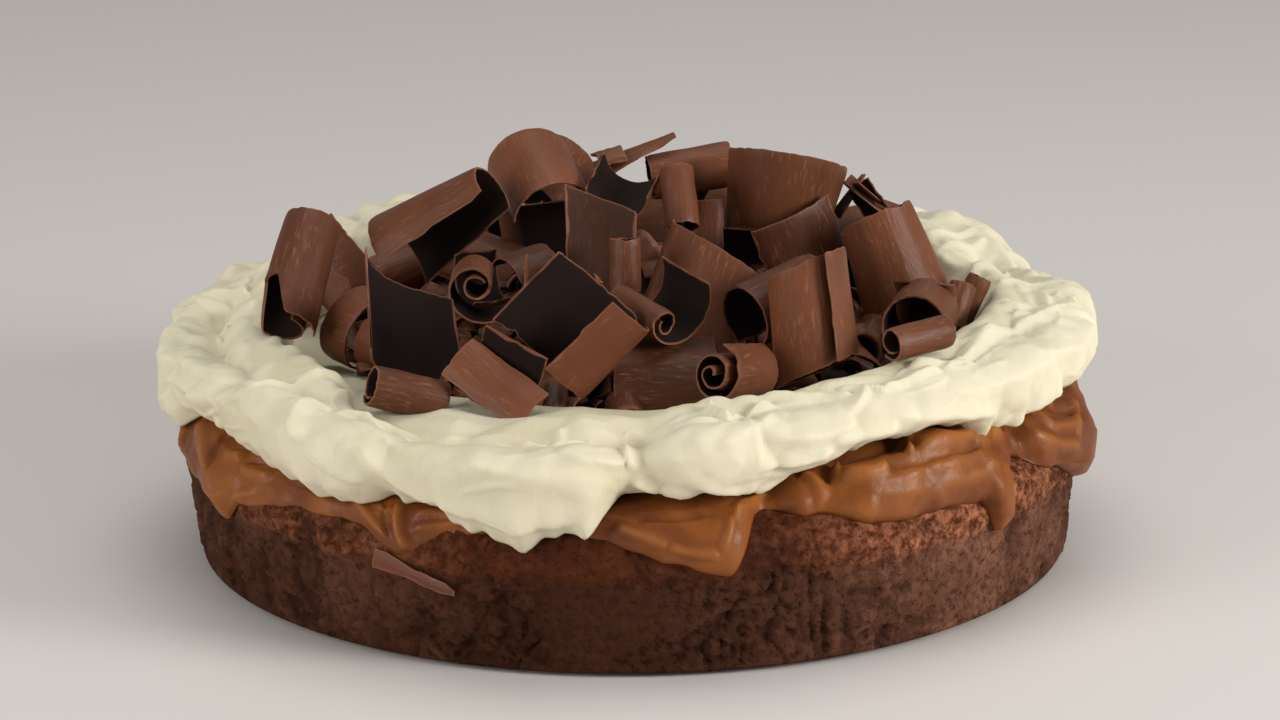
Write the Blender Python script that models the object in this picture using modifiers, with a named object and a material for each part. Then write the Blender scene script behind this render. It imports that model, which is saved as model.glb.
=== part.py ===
"""Chocolate marquise: a dense round chocolate cake with dulce de leche spread over its top,
a ring of whipped cream round the rim and a heap of chocolate curls inside the ring.

Metres, +Z up. The origin is the middle of the cake's flat underside. -Y is the front, and a
bearing is counted in degrees from +X towards +Y, so that 270 is the front.
"""

import math
from dataclasses import dataclass

import bmesh
import bpy
from mathutils import Matrix, Vector, noise

# Cake
CAKE_RADIUS = 0.120
CAKE_FOOT_RADIUS = 0.1165
CAKE_HEIGHT = 0.040
CRUST_HEIGHT = 0.030
FLAT_RADIUS = 0.108
CRUST_WIDTH = CAKE_RADIUS - FLAT_RADIUS
CRUST_DEPTH = CAKE_HEIGHT - CRUST_HEIGHT
CRUST_ARC = math.pi / 2 * math.sqrt((CRUST_WIDTH**2 + CRUST_DEPTH**2) / 2)
FOOT_ROUNDING = 0.002

# The dents of the crumb: hollows, and cracks that run up the wall
DENT_DEPTH = 0.0016
HOLLOWS_A_METRE = 55
CRACKS_A_DEGREE = 0.35
CRACKS_UPWARDS = 18
CRACK_LEVEL = 0.15
CRACK_SHARE = 1.6

# Gaps that keep touching pieces apart: on flat faces, on the crust and under the cream
GAP = 0.0003
CRUST_GAP = 0.0014
CREAM_GAP = 0.0012

# Dulce de leche. A reach is a length along the cake's outline from the flat top's edge
CARAMEL_THICKNESS = 0.0045
CARAMEL_START = -0.020
CARAMEL_RISE = -0.013
CARAMEL_FULL = 0.75
CARAMEL_BLUNTNESS = 6
FLAT_REACHES = (CARAMEL_START, CARAMEL_RISE, -0.006, 0.0)
CRUST_REACHES = (0.004, 0.0075, 0.011, 0.0145, 0.018, 0.0215, 0.026)
LOBE_SHARES = (0.97, 0.88, 0.72, 0.5, 0.25)

# Whipped cream
CREAM_FLOOR = 0.0500
CREAM_FOOT_RADIUS = 0.091
CREAM_FACE_STEPS = 11
LIP_DROP = 0.004
WIDEST_ABOVE_LIP = 12
WIDEST_TILT = 4
SLOPE_TILT = 140

# Steps round the cake, the same for every layer, so that their facets run parallel
AROUND = 90
SHARP_EDGE = math.radians(50)

# The heap's core of packed shavings
CORE_RADIUS = 0.074
CORE_HEIGHT = 0.026
CORE_SLOPE = 1.4
CORE_AROUND = 40
CORE_RINGS = 6
CORE_FLAKE = 0.0025
FLAKES_A_METRE = 75

# Curls
CURL_THICKNESS = 0.0011
DEGREES_A_SEGMENT = 24
LONGEST_SEGMENT = 0.009

# Bearing, how far the dulce de leche reaches beyond the flat top's edge, how thick it is there
CARAMEL_LOBES = (
    (0, 0.006, 0.0070),
    (12, 0.014, 0.0060),
    (24, 0.002, 0.0045),
    (40, 0.009, 0.0055),
    (58, 0.019, 0.0060),
    (72, 0.004, 0.0045),
    (92, 0.012, 0.0055),
    (110, 0.001, 0.0045),
    (128, 0.016, 0.0060),
    (146, 0.005, 0.0050),
    (164, 0.011, 0.0055),
    (180, 0.006, 0.0050),
    (190, 0.016, 0.0055),
    (203, 0.019, 0.0060),
    (208, 0.025, 0.0050),
    (214, 0.017, 0.0055),
    (224, 0.006, 0.0045),
    (234, 0.004, 0.0045),
    (241, 0.018, 0.0040),
    (247, 0.008, 0.0040),
    (258, 0.006, 0.0045),
    (266, 0.010, 0.0050),
    (274, 0.016, 0.0060),
    (281, 0.020, 0.0065),
    (287, 0.002, 0.0045),
    (292, 0.006, 0.0095),
    (302, 0.012, 0.0150),
    (312, 0.012, 0.0180),
    (320, 0.021, 0.0150),
    (327, 0.006, 0.0100),
    (335, 0.014, 0.0095),
    (345, 0.022, 0.0110),
    (353, 0.014, 0.0095),
)

# Bearing, how far the cream's lip reaches beyond the flat top's edge, its widest radius, the
# radius and height of its ridge, and how full its inner slope is
CREAM_RING = (
    (0, 0.000, 0.1225, 0.108, 0.0625, 0.90),
    (20, 0.002, 0.1210, 0.107, 0.0590, 0.90),
    (38, -0.002, 0.1205, 0.106, 0.0675, 0.90),
    (58, 0.004, 0.1225, 0.107, 0.0625, 0.90),
    (80, 0.000, 0.1195, 0.106, 0.0585, 0.90),
    (100, 0.006, 0.1235, 0.108, 0.0600, 0.90),
    (128, 0.001, 0.1210, 0.106, 0.0670, 0.90),
    (150, 0.005, 0.1195, 0.108, 0.0580, 0.90),
    (166, 0.006, 0.1205, 0.109, 0.0610, 0.90),
    (180, 0.012, 0.1235, 0.110, 0.0540, 0.90),
    (190, 0.012, 0.1245, 0.111, 0.0530, 0.90),
    (203, 0.004, 0.1215, 0.110, 0.0550, 0.90),
    (218, 0.006, 0.1245, 0.109, 0.0580, 0.85),
    (230, 0.009, 0.1255, 0.109, 0.0545, 0.35),
    (243, 0.006, 0.1235, 0.108, 0.0515, 0.40),
    (256, 0.013, 0.1265, 0.108, 0.0520, 0.90),
    (264, 0.011, 0.1250, 0.108, 0.0550, 0.90),
    (271, -0.001, 0.1180, 0.106, 0.0560, 0.90),
    (279, 0.003, 0.1210, 0.106, 0.0610, 0.90),
    (290, 0.000, 0.1175, 0.105, 0.0620, 0.90),
    (305, 0.002, 0.1165, 0.105, 0.0650, 0.90),
    (318, 0.002, 0.1165, 0.106, 0.0660, 0.90),
    (330, 0.004, 0.1185, 0.107, 0.0660, 0.90),
    (345, 0.001, 0.1215, 0.108, 0.0650, 0.90),
)


@dataclass(frozen=True)
class Dollop:
    """A spoonful of cream that swells out of the ring."""

    bearing: float
    tilt: float
    size: float
    height: float


DOLLOPS = (
    Dollop(5, 20, 0.022, 0.0040),
    Dollop(14, 75, 0.015, 0.0030),
    Dollop(33, 60, 0.020, 0.0045),
    Dollop(50, 10, 0.018, 0.0035),
    Dollop(66, 70, 0.020, 0.0040),
    Dollop(84, 25, 0.021, 0.0040),
    Dollop(97, 85, 0.015, 0.0030),
    Dollop(115, 30, 0.020, 0.0040),
    Dollop(127, 85, 0.015, 0.0045),
    Dollop(142, 25, 0.018, 0.0035),
    Dollop(158, 70, 0.017, 0.0045),
    Dollop(170, 20, 0.017, 0.0040),
    Dollop(184, -5, 0.019, 0.0035),
    Dollop(199, 35, 0.016, 0.0025),
    Dollop(220, 55, 0.015, 0.0045),
    Dollop(230, 0, 0.020, 0.0035),
    Dollop(250, 10, 0.018, 0.0030),
    Dollop(260, -25, 0.015, 0.0035),
    Dollop(263, 75, 0.011, 0.0030),
    Dollop(279, 45, 0.013, 0.0045),
    Dollop(280, 0, 0.012, 0.0040),
    Dollop(292, 35, 0.014, 0.0040),
    Dollop(303, 60, 0.015, 0.0035),
    Dollop(316, 30, 0.017, 0.0040),
    Dollop(332, 45, 0.018, 0.0035),
    Dollop(348, 20, 0.020, 0.0045),
)


@dataclass(frozen=True)
class Curl:
    """A shaving of chocolate: a strip rolled about its own axis.

    place is the middle of its box. The axis points along heading, a bearing, and climbs by
    rise. face is the way that the middle of the strip bulges, counted round the axis, with 90
    as up. The radius of the roll grows from inner to outer while the strip turns through turn,
    or, in a folded curl, goes through arcs of (turn, radius). slide shifts the strip along the
    axis as it is wound, and lean is how steeply its edges climb along the axis, seen as slopes
    towards the roll's side and its top.
    """

    name: str
    place: tuple
    heading: float
    rise: float
    face: float
    width: float
    inner: float = 0.0
    outer: float = 0.0
    turn: float = 0.0
    bloom: float = 1.0
    flare: float = 0.0
    slide: float = 0.0
    lean: tuple = (0.0, 0.0)
    arcs: tuple = ()


# Strips that are folded: how far each stretch turns and its radius, from the inner end
BIG_FOLD_ARCS = ((10, 0.060), (160, 0.0040), (32, 0.046), (24, 0.010))
MIDDLE_CUP_ARCS = ((180, 0.0022), (180, 0.0031), (90, 0.0040), (165, 0.0100))

# The curls at the back, then those that show from the front, the lowest first, and last the
# sliver on the cake's wall
CURLS = (
    Curl("curl_back_01", (0.064, 0.032, 0.0675), 95, 12, 85, 0.028, 0.0115, 0.014, 230),
    Curl("curl_back_02", (0.054, 0.053, 0.065), -20, 8, 95, 0.03, 0.005, 0.0086, 430),
    Curl("curl_back_03", (0.032, 0.078, 0.0675), 40, -8, 100, 0.025, 0.0165, 0.02, 130),
    Curl("curl_back_04", (0.02, 0.078, 0.0575), 10, 6, 90, 0.022, 0.0034, 0.0056, 420),
    Curl("curl_back_05", (-0.016, 0.074, 0.067), 80, 15, 80, 0.027, 0.009, 0.012, 300),
    Curl("curl_back_06", (-0.0435, 0.0655, 0.0700), 140, -4, 95, 0.020, 0.0055, 0.0070, 300),
    Curl("curl_back_07", (-0.064, 0.046, 0.0605), 30, 12, 70, 0.027, 0.0045, 0.0072, 430),
    Curl("curl_back_08", (-0.076, 0.02, 0.06), 110, 5, 95, 0.022, 0.006, 0.0078, 300),
    Curl("curl_back_09", (0.034, 0.044, 0.0755), 130, 6, 90, 0.024, 0.0085, 0.0105, 270),
    Curl("curl_back_10", (0.008, 0.058, 0.07), -15, 15, 100, 0.027, 0.0125, 0.015, 200),
    Curl("curl_back_11", (-0.022, 0.052, 0.084), 70, -5, 80, 0.025, 0.0045, 0.0075, 430),
    Curl("curl_back_12", (-0.038, 0.03, 0.067), 150, 12, 95, 0.022, 0.011, 0.013, 180),
    Curl("curl_front_middle", (0.0074, -0.056, 0.0616), 6, -4, 112, 0.027, 0.0155, 0.0175, 130),
    Curl("curl_right_small_tube", (0.073, -0.0688, 0.0739), 35, 2, 90, 0.018, 0.0026, 0.0045, 420),
    Curl("curl_right_stub", (0.086, -0.0144, 0.067), 60, 55, 90, 0.012, 0.003, 0.0035, 330),
    Curl("curl_right_stick", (0.0884, -0.006, 0.0633), 20, 62, 90, 0.02, 0.0018, 0.0036, 400),
    Curl(
        "curl_left_scroll", (-0.0671, -0.0248, 0.0636), -45, -8, 330, 0.01, 0.0084, 0.0112, 560,
        slide=-0.018,
    ),
    Curl(
        "curl_left_tall", (-0.0874, -0.0198, 0.0784), 74, 42, -10, 0.033, 0.005, 0.0082, 430,
        flare=-0.15,
    ),
    Curl("curl_left_ribbon", (-0.0746, 0.012, 0.0717), 10, 40, 155, 0.0095, 0.021, 0.023, 85),
    Curl(
        "curl_left_box", (-0.0560, -0.0519, 0.0738), 97, 62, -53, 0.0272, 0.018, 0.0175, 112,
        slide=0.011,
    ),
    Curl(
        "curl_front_left_tube", (-0.0572, -0.0747, 0.0617), 15, -18, 90, 0.020, 0.0036, 0.0056,
        430,
    ),
    Curl(
        "curl_front_dark_strip", (-0.0335, -0.0742, 0.0673), -25, -22, -20, 0.019, 0.012, 0.016,
        80,
    ),
    Curl("curl_front_panel", (-0.0347, -0.078, 0.0652), -32, -27, 135, 0.0255, 0.0135, 0.0145, 52),
    Curl(
        "curl_front_scroll", (0.0265, -0.074, 0.0668), -131, 12, 40, 0.016, 0.0012, 0.0078, 800,
        slide=-0.003,
    ),
    Curl("curl_right_arch", (0.0558, -0.04, 0.0576), -80, 3, 70, 0.016, 0.01, 0.011, 150),
    Curl(
        "curl_right_bucket", (0.0706, 0.004, 0.074), 178, 70, 0, 0.026, 0.0102, 0.0112, 280,
        flare=-0.2, lean=(0.30, 0.10),
    ),
    Curl("curl_right_cup", (0.0751, -0.034, 0.0697), -104, 0, 62, 0.018, 0.0074, 0.0088, 335),
    Curl(
        "curl_front_tall", (0.0462, -0.062, 0.0775), 175, 84, 248, 0.029, 0.0078, 0.0116, -420,
        flare=-0.08, lean=(0.30, 0.34),
    ),
    Curl(
        "curl_middle_spire", (-0.0080, -0.0208, 0.0840), 90, 74, -92, 0.029, 0.015, 0.019, 66,
        slide=0.008,
    ),
    Curl(
        "curl_middle_sheet", (0.0181, -0.0252, 0.0738), 52, 56, 96, 0.026, 0.0195, 0.0215, 100,
        slide=-0.01,
    ),
    Curl("curl_big_fold", (-0.0155, -0.0712, 0.0791), 4, 46, -62, 0.0245, arcs=BIG_FOLD_ARCS),
    Curl("curl_middle_roll", (0.0385, -0.0408, 0.0761), -140, -10, 80, 0.025, 0.0078, 0.009, 320),
    Curl("curl_left_dark_shell", (-0.0389, -0.01, 0.0734), 20, 0, -60, 0.012, 0.009, 0.01, 160),
    Curl("curl_left_shell", (-0.027, -0.0104, 0.076), 30, 10, 110, 0.013, 0.009, 0.01, 150),
    Curl(
        "curl_left_small_scroll", (-0.0373, -0.03, 0.0772), -92, 2, 22, 0.016, 0.0028, 0.014, 700,
        bloom=3.0,
    ),
    Curl("curl_middle_cup", (0.0071, -0.054, 0.0799), -50, -10, 82, 0.019, arcs=MIDDLE_CUP_ARCS),
    Curl("curl_middle_ribs", (-0.0017, -0.032, 0.0836), 90, 78, 90, 0.014, 0.003, 0.0044, 400),
    Curl("curl_right_dark_sheet", (0.0450, 0.0084, 0.0785), 195, 70, 5, 0.018, 0.022, 0.026, 58),
    Curl(
        "curl_upper_left", (-0.0512, 0.002, 0.0851), -12, 36, 44, 0.033, 0.0085, 0.0112, 236,
        flare=-0.5,
    ),
    Curl("curl_top_back", (-0.0242, 0.046, 0.0882), 60, 20, 90, 0.022, 0.0105, 0.0125, 190),
    Curl("curl_top_flat", (0.0208, 0.0156, 0.081), 90, 72, 90, 0.015, 0.01, 0.011, 45),
    Curl(
        "curl_top_big_sheet", (0.0419, 0.024, 0.0873), 10, 80, 200, 0.022, 0.0145, 0.0155, 220,
        flare=0.2, lean=(-0.32, 0.06),
    ),
    Curl("curl_top_splinter", (0.0642, 0.026, 0.0857), 150, 48, 180, 0.01, 0.008, 0.01, 50),
    Curl("curl_top_cup", (-0.0014, 0.0104, 0.0937), 75, 16, -85, 0.02, 0.008, 0.0088, 180),
    Curl("curl_top_arch", (-0.0245, 0.018, 0.0953), 110, 25, 88, 0.024, 0.0105, 0.0115, 195),
    Curl("curl_top_tube", (0.0161, 0.032, 0.0924), 8, 8, 90, 0.023, 0.0045, 0.0064, 420),
    Curl("curl_top_stub", (0.0128, 0.0032, 0.0922), 100, 55, 90, 0.017, 0.0034, 0.005, 410),
    Curl(
        "curl_top_spike", (0.0008, 0.0284, 0.0974), 6, 24, 110, 0.024, 0.011, 0.012, 28,
        flare=-1.3,
    ),
    Curl("curl_top_chip", (-0.0059, 0.0264, 0.0977), 15, 12, 120, 0.009, 0.008, 0.009, 40),
    Curl(
        "curl_stray", (-0.055, -0.108, 0.0255), -27, -15, 180, 0.024, 0.006, 0.006, 30,
        flare=-0.8,
    ),
)


def clear_scene():
    """Removes every object that is in the scene."""
    for obj in list(bpy.data.objects):
        bpy.data.objects.remove(obj, do_unlink=True)


def make_material(name, colour, roughness):
    """A plain finish of one colour."""
    material = bpy.data.materials.new(name)
    material.use_nodes = True
    shader = material.node_tree.nodes["Principled BSDF"]
    shader.inputs["Base Color"].default_value = (*colour, 1.0)
    shader.inputs["Roughness"].default_value = roughness
    shader.inputs["Metallic"].default_value = 0.0
    return material


def add_object(name, mesh, material, collection):
    """An object of that mesh, in the collection."""
    obj = bpy.data.objects.new(name, mesh)
    obj.data.materials.append(material)
    collection.objects.link(obj)
    return obj


def smooth_step(share):
    """0 to 1, flat at both ends."""
    share = min(1.0, max(0.0, share))
    return share * share * (3 - 2 * share)


def around(table, bearing, column):
    """The value in a column at a bearing, eased between the table's bearings."""
    bearing = bearing % 360
    rows = list(table) + [(table[0][0] + 360, *table[0][1:])]
    for before, after in zip(rows, rows[1:]):
        if before[0] <= bearing <= after[0]:
            share = (bearing - before[0]) / (after[0] - before[0])
            return before[column] + (after[column] - before[column]) * smooth_step(share)
    return rows[-1][column]


def rings_mesh(name, stations, steps, place):
    """A closed solid from rings: a disc of `stations` rings is spun, then each point is placed.

    place(station, bearing) gives the point (radius, height). The first and last stations lie
    on the axis.
    """
    bm = bmesh.new()
    spokes = [bm.verts.new((station, 0, 0)) for station in range(stations)]
    edges = [bm.edges.new(pair) for pair in zip(spokes, spokes[1:])]
    bmesh.ops.spin(
        bm,
        geom=spokes + edges,
        cent=(0, 0, 0),
        axis=(0, 0, 1),
        angle=2 * math.pi,
        steps=steps,
        use_merge=True,
    )
    for vert in bm.verts:
        station = round(math.hypot(vert.co.x, vert.co.y))
        bearing = math.atan2(vert.co.y, vert.co.x)
        radius, height = place(station, math.degrees(bearing) % 360)
        vert.co = (radius * math.cos(bearing), radius * math.sin(bearing), height)
    bmesh.ops.remove_doubles(bm, verts=bm.verts, dist=1e-6)
    bmesh.ops.recalc_face_normals(bm, faces=bm.faces)
    mesh = bpy.data.meshes.new(name)
    bm.to_mesh(mesh)
    bm.free()
    mesh.shade_smooth()
    mesh.set_sharp_from_angle(angle=SHARP_EDGE)
    return mesh


def outline(reach):
    """The point (radius, height) of the cake's outline and its outward normal.

    reach is the length along the outline from the flat top's edge, positive on the way down.
    """
    if reach <= 0:
        return Vector((FLAT_RADIUS + reach, CAKE_HEIGHT)), Vector((0, 1))
    if reach < CRUST_ARC:
        turned = math.pi / 2 * reach / CRUST_ARC
        point = Vector(
            (
                FLAT_RADIUS + CRUST_WIDTH * math.sin(turned),
                CRUST_HEIGHT + CRUST_DEPTH * math.cos(turned),
            )
        )
        normal = Vector((math.sin(turned) / CRUST_WIDTH, math.cos(turned) / CRUST_DEPTH))
        return point, normal.normalized()
    down = Vector((CAKE_FOOT_RADIUS - CAKE_RADIUS, -CRUST_HEIGHT)).normalized()
    point = Vector((CAKE_RADIUS, CRUST_HEIGHT)) + down * (reach - CRUST_ARC)
    return point, Vector((-down.y, down.x))


def cake_dent(point, bearing):
    """How deep the crumb is dented there: broad hollows and upright cracks."""
    angle = math.radians(bearing)
    where = Vector((point.x * math.cos(angle), point.x * math.sin(angle), point.y))
    hollow = max(0.0, noise.noise(where * HOLLOWS_A_METRE))
    upright = Vector((bearing * CRACKS_A_DEGREE, point.y * CRACKS_UPWARDS, 0))
    crack = max(0.0, noise.noise(upright) - CRACK_LEVEL)
    return DENT_DEPTH * min(1.0, hollow + CRACK_SHARE * crack)


def make_cake():
    """The cake: a flared round with a rounded crust, dented on its wall and crust."""
    wall = math.hypot(CAKE_RADIUS - CAKE_FOOT_RADIUS, CRUST_HEIGHT)
    reaches = [-FLAT_RADIUS, 0, 0.35 * CRUST_ARC, 0.7 * CRUST_ARC, CRUST_ARC]
    reaches += [CRUST_ARC + share * wall for share in (0.25, 0.5, 0.75)]
    reaches += [CRUST_ARC + wall - FOOT_ROUNDING]
    flat_stations = 2

    def place(station, bearing):
        if station < len(reaches):
            point, normal = outline(reaches[station])
            if station >= flat_stations:
                point = point - normal * cake_dent(point, bearing)
            return point.x, point.y
        if station == len(reaches):
            return CAKE_FOOT_RADIUS - FOOT_ROUNDING, 0.0
        return 0.0, 0.0

    return rings_mesh("cake", len(reaches) + 2, AROUND, place)


def caramel_cover(reach, bearing):
    """How thick the dulce de leche lies over the cake at that reach."""
    end = around(CARAMEL_LOBES, bearing, 1)
    lobe = around(CARAMEL_LOBES, bearing, 2)
    share = (reach - CARAMEL_START) / (end - CARAMEL_START)
    if share >= 1:
        return 0.0
    risen = smooth_step(1 - reach / CARAMEL_RISE)
    swell = CARAMEL_THICKNESS + (lobe - CARAMEL_THICKNESS) * risen
    return swell * math.sqrt(1 - max(0.0, share) ** CARAMEL_BLUNTNESS)


def laid_over(reach, cover):
    """The point at that height over the cake: straight out at first, then leaning upwards."""
    point, normal = outline(reach)
    upper = (normal + Vector((0, 1))).normalized()
    first = min(cover, CARAMEL_THICKNESS)
    return point + normal * first + upper * (cover - first)


def under_reaches(end):
    """Where an underside that ends there has its points: the same for every bearing, cut short."""
    return [min(reach, end) for reach in FLAT_REACHES + CRUST_REACHES]


def over_reaches(end):
    """Where the dulce de leche's upper side has its points, from the lobe's end inwards."""
    return [share * end for share in LOBE_SHARES] + list(reversed(FLAT_REACHES))


def make_caramel():
    """The dulce de leche: a layer over the flat top that hangs over the crust in lobes."""
    under_count = len(FLAT_REACHES + CRUST_REACHES)
    over_count = len(LOBE_SHARES + FLAT_REACHES)

    def place(station, bearing):
        end = around(CARAMEL_LOBES, bearing, 1)
        if station == 0:
            return 0.0, CAKE_HEIGHT + GAP
        if station <= under_count:
            reach = under_reaches(end)[station - 1]
            point = laid_over(reach, GAP if reach <= 0 else CRUST_GAP)
        elif station <= under_count + over_count:
            reach = over_reaches(end)[station - under_count - 1]
            point = laid_over(reach, max(caramel_cover(reach, bearing), CRUST_GAP))
        else:
            return 0.0, CAKE_HEIGHT + CARAMEL_THICKNESS
        return point.x, point.y

    return rings_mesh("dulce_de_leche", under_count + over_count + 2, AROUND, place)


def cream_bed(reach, bearing):
    """How high over the cake the cream lies there: on the caramel, and past its end on the crust."""
    end = around(CARAMEL_LOBES, bearing, 1)
    full = CARAMEL_START + CARAMEL_FULL * (end - CARAMEL_START)
    level = caramel_cover(min(reach, full), bearing)
    past = smooth_step((reach - end - 0.5 * LIP_DROP) / LIP_DROP)
    return level * (1 - past)


def dollop_height(bearing, tilt, ring_radius, section_radius):
    """How far the nearest dollops swell the cream at a bearing and a tilt of its section."""
    height = 0.0
    for dollop in DOLLOPS:
        apart = (bearing - dollop.bearing + 180) % 360 - 180
        along = ring_radius * math.radians(apart)
        across = section_radius * math.radians(tilt - dollop.tilt)
        share = 1 - (along**2 + across**2) / dollop.size**2
        height = max(height, dollop.height * max(0.0, share))
    return height


def cream_lip(bearing):
    """The point (radius, height) where the cream's outer face meets what it hangs on."""
    reach = around(CREAM_RING, bearing, 1)
    return laid_over(reach, cream_bed(reach, bearing) + CREAM_GAP)


def cream_face(bearing, share):
    """A point of the cream's outer face: share 0 is its lip and 1 the foot of its inner slope."""
    widest = around(CREAM_RING, bearing, 2)
    ridge_radius = around(CREAM_RING, bearing, 3)
    ridge = around(CREAM_RING, bearing, 4)
    fullness = around(CREAM_RING, bearing, 5)
    heart = Vector((ridge_radius, (CREAM_FLOOR + ridge) / 2))
    to_lip = cream_lip(bearing) - heart
    to_foot = Vector((CREAM_FOOT_RADIUS, CREAM_FLOOR)) - heart
    first = math.degrees(math.atan2(to_lip.y, to_lip.x))
    last = math.degrees(math.atan2(to_foot.y, to_foot.x)) % 360
    knots = (
        (first, to_lip.length),
        (max(first + WIDEST_ABOVE_LIP, WIDEST_TILT), widest - ridge_radius),
        (90, ridge - heart.y),
        (SLOPE_TILT, fullness * to_foot.length),
        (last, to_foot.length),
    )
    tilt = first + share * (last - first)
    radius = knots[-1][1]
    for before, after in zip(knots, knots[1:]):
        if before[0] <= tilt <= after[0]:
            eased = smooth_step((tilt - before[0]) / (after[0] - before[0]))
            radius = before[1] + (after[1] - before[1]) * eased
            break
    free = min(1.0, 5 * share, 4 * (1 - share))
    radius += free * dollop_height(bearing, tilt, ridge_radius, radius)
    turned = math.radians(tilt)
    return heart + Vector((math.cos(turned), math.sin(turned))) * radius


def make_cream():
    """The whipped cream: a thin bed under the heap and a lumpy ring round it."""
    under_count = len(FLAT_REACHES + CRUST_REACHES)

    def place(station, bearing):
        if station == 0:
            return 0.0, CAKE_HEIGHT + CARAMEL_THICKNESS + GAP
        if station <= under_count:
            reach = under_reaches(around(CREAM_RING, bearing, 1))[station - 1]
            gap = GAP if station == 1 else CREAM_GAP
            point = laid_over(reach, cream_bed(reach, bearing) + gap)
        elif station <= under_count + CREAM_FACE_STEPS:
            point = cream_face(bearing, (station - under_count) / CREAM_FACE_STEPS)
        else:
            return 0.0, CREAM_FLOOR
        return point.x, point.y

    return rings_mesh("whipped_cream", under_count + CREAM_FACE_STEPS + 2, AROUND, place)


def make_core():
    """The packed broken shavings inside the heap: a mound with a flaky top."""

    def place(station, bearing):
        bottom = CREAM_FLOOR + GAP
        if station == 0:
            return 0.0, bottom
        share = (station - 1) / CORE_RINGS
        radius = CORE_RADIUS * (1 - share)
        angle = math.radians(bearing)
        where = Vector((radius * math.cos(angle), radius * math.sin(angle), 0))
        flake = CORE_FLAKE * noise.cell(where * FLAKES_A_METRE)
        flake *= math.sin(math.pi * min(1.0, 1.5 * share))
        return radius, bottom + CORE_HEIGHT * share**CORE_SLOPE + flake

    return rings_mesh("curl_shavings", CORE_RINGS + 2, CORE_AROUND, place)


def roll_steps(curl):
    """The strip's short straight steps, as (turn, length) in radians and metres."""
    if curl.arcs:
        steps = []
        for turn, radius in curl.arcs:
            count = max(1, round(turn / DEGREES_A_SEGMENT))
            turn = math.radians(turn) / count
            steps += [(turn, turn * radius)] * count
        return steps
    length = math.radians(abs(curl.turn)) * (curl.inner + curl.outer) / 2
    count = max(4, round(abs(curl.turn) / DEGREES_A_SEGMENT), round(length / LONGEST_SEGMENT))
    turn = math.radians(curl.turn) / count
    growth = curl.outer - curl.inner
    radii = [curl.inner + growth * ((index + 0.5) / count) ** curl.bloom for index in range(count)]
    return [(turn, turn * radius) for radius in radii]


def roll_section(curl):
    """The strip's line seen along the axis: points (y, z) from the inner end to the outer one."""
    steps = roll_steps(curl)
    outward = math.radians(curl.face) - sum(turn for turn, length in steps) / 2
    point = Vector((0.0, 0.0))
    points = [point.copy()]
    for turn, length in steps:
        outward += turn / 2
        point = point + Vector((-math.sin(outward), math.cos(outward))) * length
        outward += turn / 2
        points.append(point.copy())
    middle = Vector((min(axis) + max(axis)) / 2 for axis in zip(*points))
    return [point - middle for point in points]


def make_curl(curl, material, collection):
    """The curl as a thin solid, with the middle of its strip's box at its place."""
    section = roll_section(curl)
    segments = len(section) - 1
    bm = bmesh.new()
    bmesh.ops.create_grid(bm, x_segments=segments, y_segments=1, size=0.5)
    turned = (
        Matrix.Rotation(math.radians(curl.heading), 3, "Z")
        @ Matrix.Rotation(math.radians(-curl.rise), 3, "Y")
    )
    for vert in bm.verts:
        share, across = vert.co.x + 0.5, vert.co.y
        y, z = section[round(share * segments)]
        widen = 1 + curl.flare * across
        along = curl.width * across + curl.slide * (share - 0.5)
        along += curl.lean[0] * y + curl.lean[1] * z
        vert.co = turned @ Vector((along, y * widen, z * widen))
    low = Vector(min(vert.co[axis] for vert in bm.verts) for axis in range(3))
    high = Vector(max(vert.co[axis] for vert in bm.verts) for axis in range(3))
    bmesh.ops.translate(bm, verts=bm.verts, vec=-(low + high) / 2)
    bmesh.ops.recalc_face_normals(bm, faces=bm.faces)
    mesh = bpy.data.meshes.new(curl.name)
    bm.to_mesh(mesh)
    bm.free()
    mesh.shade_smooth()
    obj = add_object(curl.name, mesh, material, collection)
    obj.location = curl.place
    shell = obj.modifiers.new("thickness", "SOLIDIFY")
    shell.thickness = CURL_THICKNESS
    shell.offset = 0.0
    shell.use_even_offset = True
    return obj


def main():
    """Builds every piece."""
    clear_scene()
    collection = bpy.data.collections.new("chocolate_marquise")
    bpy.context.scene.collection.children.link(collection)
    crumb = make_material("chocolate_crumb", (0.045, 0.017, 0.009), 0.8)
    caramel = make_material("caramel", (0.30, 0.105, 0.030), 0.3)
    cream = make_material("cream", (0.83, 0.80, 0.62), 0.55)
    chocolate = make_material("chocolate", (0.085, 0.032, 0.018), 0.45)
    add_object("cake", make_cake(), crumb, collection)
    add_object("dulce_de_leche", make_caramel(), caramel, collection)
    add_object("whipped_cream", make_cream(), cream, collection)
    add_object("curl_shavings", make_core(), chocolate, collection)
    for curl in CURLS:
        make_curl(curl, chocolate, collection)


main()
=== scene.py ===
"""The looks of a chocolate marquise: crumb, dulce de leche, whipped cream and chocolate curls.

Metres, +Z up. The origin is the middle of the cake's flat underside, -Y is the front, and a
bearing is counted in degrees from +X towards +Y, so that 270 is the front.
"""

import logging
import math
import random
from collections.abc import Callable, Iterable, Sequence
from dataclasses import dataclass, field
from enum import Enum
from functools import lru_cache

import bmesh
import bpy
from mathutils import Matrix, Vector, noise

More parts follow.
